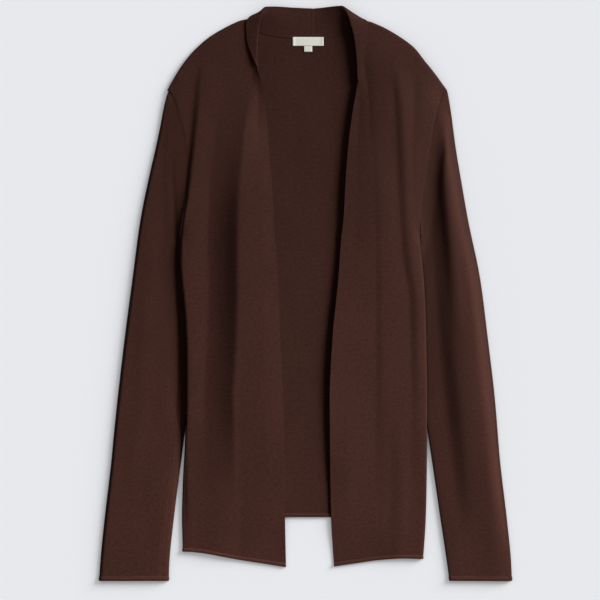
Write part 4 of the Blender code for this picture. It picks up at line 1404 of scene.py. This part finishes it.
def stitched_profile(distance):
    """(height to add, wall to add) of a flat seam: a low rib between two lines of stitching."""
    lines = sum(bump(distance, at, SLEEVE_STITCH_WIDTH) for at in (-SLEEVE_SEAM / 2, SLEEVE_SEAM / 2))
    return -SLEEVE_STITCH * lines, 0 * distance


def make_sleeve(side):
    """A sleeve with its hem and its seams."""
    places = lay_points(side, SLEEVE_ROWS, SLEEVE_RING, lambda v, k: sleeve_point(side, v, k))
    across = run_lengths(places, 1)
    along = run_lengths(places, 0)
    details = [(hem_profile(along), 1.0), (welt_profile(along[-1:] - along), 1.0)]
    if side == "left":
        inner = across[:, SLEEVE_RING.index(1)][:, None]
        v = np.array(SLEEVE_ROWS)[:, None]
        on_top = (np.array(SLEEVE_RING)[None, :] <= 1) * np.clip((SEAM_HIDDEN - v) * SEAM_FADE, 0, 1)
        details.append((stitched_profile(inner - across - SEAM_FROM_FOLD), on_top))
    return make_sheet(f"sleeve_{side}_knit", side, places, (across, along), details, KNIT,
                      closed=True)


sleeves = {side: make_sleeve(side) for side in SIGN}

# %% [markdown]
# ## The seams
#
# Fine knitwear is linked: the two edges are joined loop by loop, which leaves a low rib of
# yarn in the groove between them. Here each seam gets one thin round rib that follows the
# middle of the gap between its two panels, so that no light comes through the seam.

# %% A rib along a path
RIB = 0.62                     # radius of the linked seam
RIB_SIDES = 8
RIB_LIFT = {"left": 0.15, "right": 0.4}        # how far an armhole's rib stands up in its gap
NECK_RIB_LIFT = 0.45           # and that of the neck seam


def make_rib(name, path, radius=RIB):
    """A round tube of yarn along places in millimetres; u of its UV runs along it."""
    points = [Vector(place) for place in path]
    bm = bmesh.new()
    cut = bm.loops.layers.uv.new(UV_NAME)
    rings, run = [], [0.0]
    for k, place in enumerate(points):
        ahead = points[min(k + 1, len(points) - 1)] - points[max(k - 1, 0)]
        if k:
            run.append(run[-1] + (place - points[k - 1]).length)
        side_way = ahead.cross(Vector((0, 0, 1))).normalized()
        up_way = side_way.cross(ahead).normalized()
        ring = []
        for n in range(RIB_SIDES):
            angle = 2 * math.pi * n / RIB_SIDES
            ring.append(bm.verts.new((place + side_way * radius * math.cos(angle)
                                      + up_way * radius * math.sin(angle)) * MM))
        rings.append(ring)
    girth = 2 * math.pi * radius
    for k in range(len(rings) - 1):
        for n in range(RIB_SIDES):
            m = (n + 1) % RIB_SIDES
            face = bm.faces.new((rings[k][n], rings[k][m], rings[k + 1][m], rings[k + 1][n]))
            corners = ((k, n), (k, n + 1), (k + 1, n + 1), (k + 1, n))
            for loop, (row, turn) in zip(face.loops, corners):
                loop[cut].uv = (run[row] * MM, turn / RIB_SIDES * girth * MM)
    for ring in (rings[0], list(reversed(rings[-1]))):
        bm.faces.new(ring)
    bmesh.ops.recalc_face_normals(bm, faces=bm.faces)
    rib = new_piece(name, bm, KNIT)
    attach(rib, "root")
    print(f"{name}: {run[-1]:.0f} mm of seam")
    return rib


print("ribs are", 2 * RIB, "mm thick")

# %% Neck, centre back and armhole seams
def between(a, b):
    """The place half way between two places."""
    return tuple((p + q) / 2 for p, q in zip(a, b))


def neck_seam(side, c):
    """Middle of the gap between the back and a front: c as along the back's upper edge."""
    edge = base_point(side, 4 - c) if c <= 1 else front_point(side, 3, c + 1)
    out, y = between(edge[:2], back_top(side, c))
    x = SIGN[side] * out
    return x, y, LYING + NECK_RIB_LIFT + back_rise(x, y)


def collar_seam(c):
    """Middle of the gap between the two collar halves, c = 0 at the edge and 2 at the foot."""
    halves = []
    for side in SIGN:
        out, y, z = front_point(side, 4, c)
        halves.append((SIGN[side] * out, y, z))
    return between(*halves)


def armhole_seam(side, ring):
    """Middle of the gap between a sleeve and the body, all round."""
    out, y, z = sleeve_point(side, 1, ring)
    s = min(1, ring) if ring <= 2 else max(0, 3 - ring)
    way = armhole_normal(side, 1 - s)
    lift = RIB_LIFT[side] if ring <= 1 else 0.0
    return SIGN[side] * (out - way[0] * SEAM_GAP / 2), y - way[1] * SEAM_GAP / 2, max(z + lift, RIB)


neck_steps = spread((0, 1, 40), (1, 2, 50))
neck_path = [neck_seam("left", c) for c in reversed(neck_steps)]
neck_path += [neck_seam("right", c) for c in neck_steps]
collar_path = [collar_seam(c) for c in spread((0.06, 1, 16), (1, 1.98, 16))]
ribs = {"neck": make_rib("neck_seam", neck_path), "collar": make_rib("collar_seam", collar_path)}
round_armhole = spread((0, 1, 90), (1, 2, 10), (2, 3, 90), (3, 4, 10))
for side in SIGN:
    path = [armhole_seam(side, ring) for ring in round_armhole]
    ribs[side] = make_rib(f"armhole_seam_{side}", path)

# %% [markdown]
# ## Attaching the cloth
#
# Each panel is attached to the frame, and its plain part is hidden. The table lists with each
# panel the flat size, rounded, that the whole panel is cut to.


BACK_CUT = (0.36, 0.705)       # width and length in metres
FRONT_CUT = (0.205, 0.83)
SLEEVE_CUT = (0.30, 0.65)
CUTS = {"back": (back, BACK_CUT),
        "front_left": (fronts["left"], FRONT_CUT), "front_right": (fronts["right"], FRONT_CUT),
        "sleeve_left": (sleeves["left"], SLEEVE_CUT), "sleeve_right": (sleeves["right"], SLEEVE_CUT)}
for node, (piece, flat) in CUTS.items():
    finish_sheet(piece, node)

# %% [markdown]
# ## The neck label
#
# The woven label is a strip of satin tape with its two ends folded under and sewn down. It is
# left bare. A smaller folded tab hangs from its lower edge.

# %% Label cloth
LABEL_COLOUR = (0.80, 0.81, 0.71, 1.0)
LABEL_SHADE = (0.64, 0.64, 0.55, 1.0)
LABEL_FINISH = {"Roughness": 0.5, "Specular IOR Level": 0.4, "Sheen Weight": 0.2}
TWILL_SCALE = 700.0            # of the diagonal ribs of the weave
TWILL_WAVER = 0.6
TWILL_SHADE = 0.35             # how far its valleys go from the colour to the shade
TWILL_BUMP = 0.4               # strength of its relief
TWILL_BUMP_MM = 0.08           # and its depth


def woven(name):
    """Satin tape with fine diagonal ribs."""
    made, shader = new_material(name, LABEL_FINISH)
    tree = made.node_tree
    twill = tree.nodes.new("ShaderNodeTexWave")
    twill.bands_direction = "DIAGONAL"
    twill.inputs["Scale"].default_value = TWILL_SCALE
    twill.inputs["Distortion"].default_value = TWILL_WAVER
    tree.links.new(cut_pattern(tree), twill.inputs["Vector"])
    crests = add_math(tree, "MULTIPLY", twill.outputs["Fac"], TWILL_SHADE)
    light = add_math(tree, "ADD", crests, 1 - TWILL_SHADE)
    tree.links.new(mix_colours(tree, light, LABEL_SHADE, LABEL_COLOUR), shader.inputs["Base Color"])
    add_bump(tree, shader, twill.outputs["Fac"], TWILL_BUMP, TWILL_BUMP_MM)
    return made


WOVEN = woven("cream_label")
print("material:", WOVEN.name)

# %% Make the label and its tab
LABEL_SIZE = (40.0, 11.5)      # width and height
LABEL_X = 3.6                  # its middle, right of the centre line
LABEL_TOP_Y = 333.0
LABEL_REST = CLOTH + 0.35      # middle of the tape at its ends, above the floor
LABEL_ARCH = 0.55              # how far its middle stands up, at its lower edge
ARCH_ABOVE = 0.55              # the share of that at its upper edge
LABEL_RIPPLE = 0.12            # height of a slight waviness
TAPE = 0.5                     # wall of the woven tape
TURNED_WALL = 0.35             # what an end that is folded under adds to it
TURNED = 2.4                   # length of such an end
TURNED_STEP = 0.8              # width over which it ends
TAB_SIZE = (10.5, 7.5)         # width and height
TAB_LOOP = 0.7                 # from the tab's lower layer to its upper one, wall to wall


def make_tape(name, node, places, thicker):
    """A piece of woven tape from its grid of places; thicker is what its ends add to its wall."""
    pattern = (run_lengths(places, 1), run_lengths(places, 0))
    from_end = np.minimum(pattern[0], pattern[0][:, -1:] - pattern[0])
    wall = TAPE - CLOTH + thicker * step_down(from_end, TURNED, TURNED_STEP)
    piece = make_sheet(name, "right", places, pattern, [((0 * wall, wall), 1.0)], WOVEN)
    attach(piece, "root")
    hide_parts(node)
    return piece


def label_place(w, u):
    """The label: it arches a little between its sewn ends."""
    x = LABEL_X + LABEL_SIZE[0] * (u - 0.5)
    y = LABEL_TOP_Y - LABEL_SIZE[1] * w
    swell = LABEL_ARCH * math.sin(math.pi * u) ** 0.5 * (ARCH_ABOVE + (1 - ARCH_ABOVE) * w)
    ripple = LABEL_RIPPLE * math.sin(7 * u + 3 * w)
    return x, y, LABEL_REST + back_rise(x, y) + swell + ripple


def tab_place(w, u):
    """The tab: down (0 to 1), round a small loop (1 to 2) and up again underneath (2 to 3)."""
    x = LABEL_X + TAB_SIZE[0] * (u - 0.5)
    top = LABEL_TOP_Y - LABEL_SIZE[1] - SEAM_GAP
    radius = TAB_LOOP / 2
    straight = TAB_SIZE[1] - radius - TAPE / 2
    turn = math.pi * min(1, max(0, w - 1))
    down = straight * (min(w, 1) - max(0, w - 2)) + radius * math.sin(turn)
    y = top - down
    return x, y, LABEL_REST + radius * (1 + math.cos(turn)) + back_rise(x, y)


label_across = spread((0, 0.06, 3), (0.06, 0.94, 20), (0.94, 1, 3))
label_places = lay_points("right", spread((0, 1, 10)), label_across, label_place)
label = make_tape("label_tape", "neck_label", label_places, TURNED_WALL)
round_tab = spread((0, 1, 8), (1, 2, 6), (2, 3, 6))
tab_places = lay_points("right", round_tab, spread((0, 1, 10)), tab_place)
tab = make_tape("label_tab", "size_tab", tab_places, 0.0)
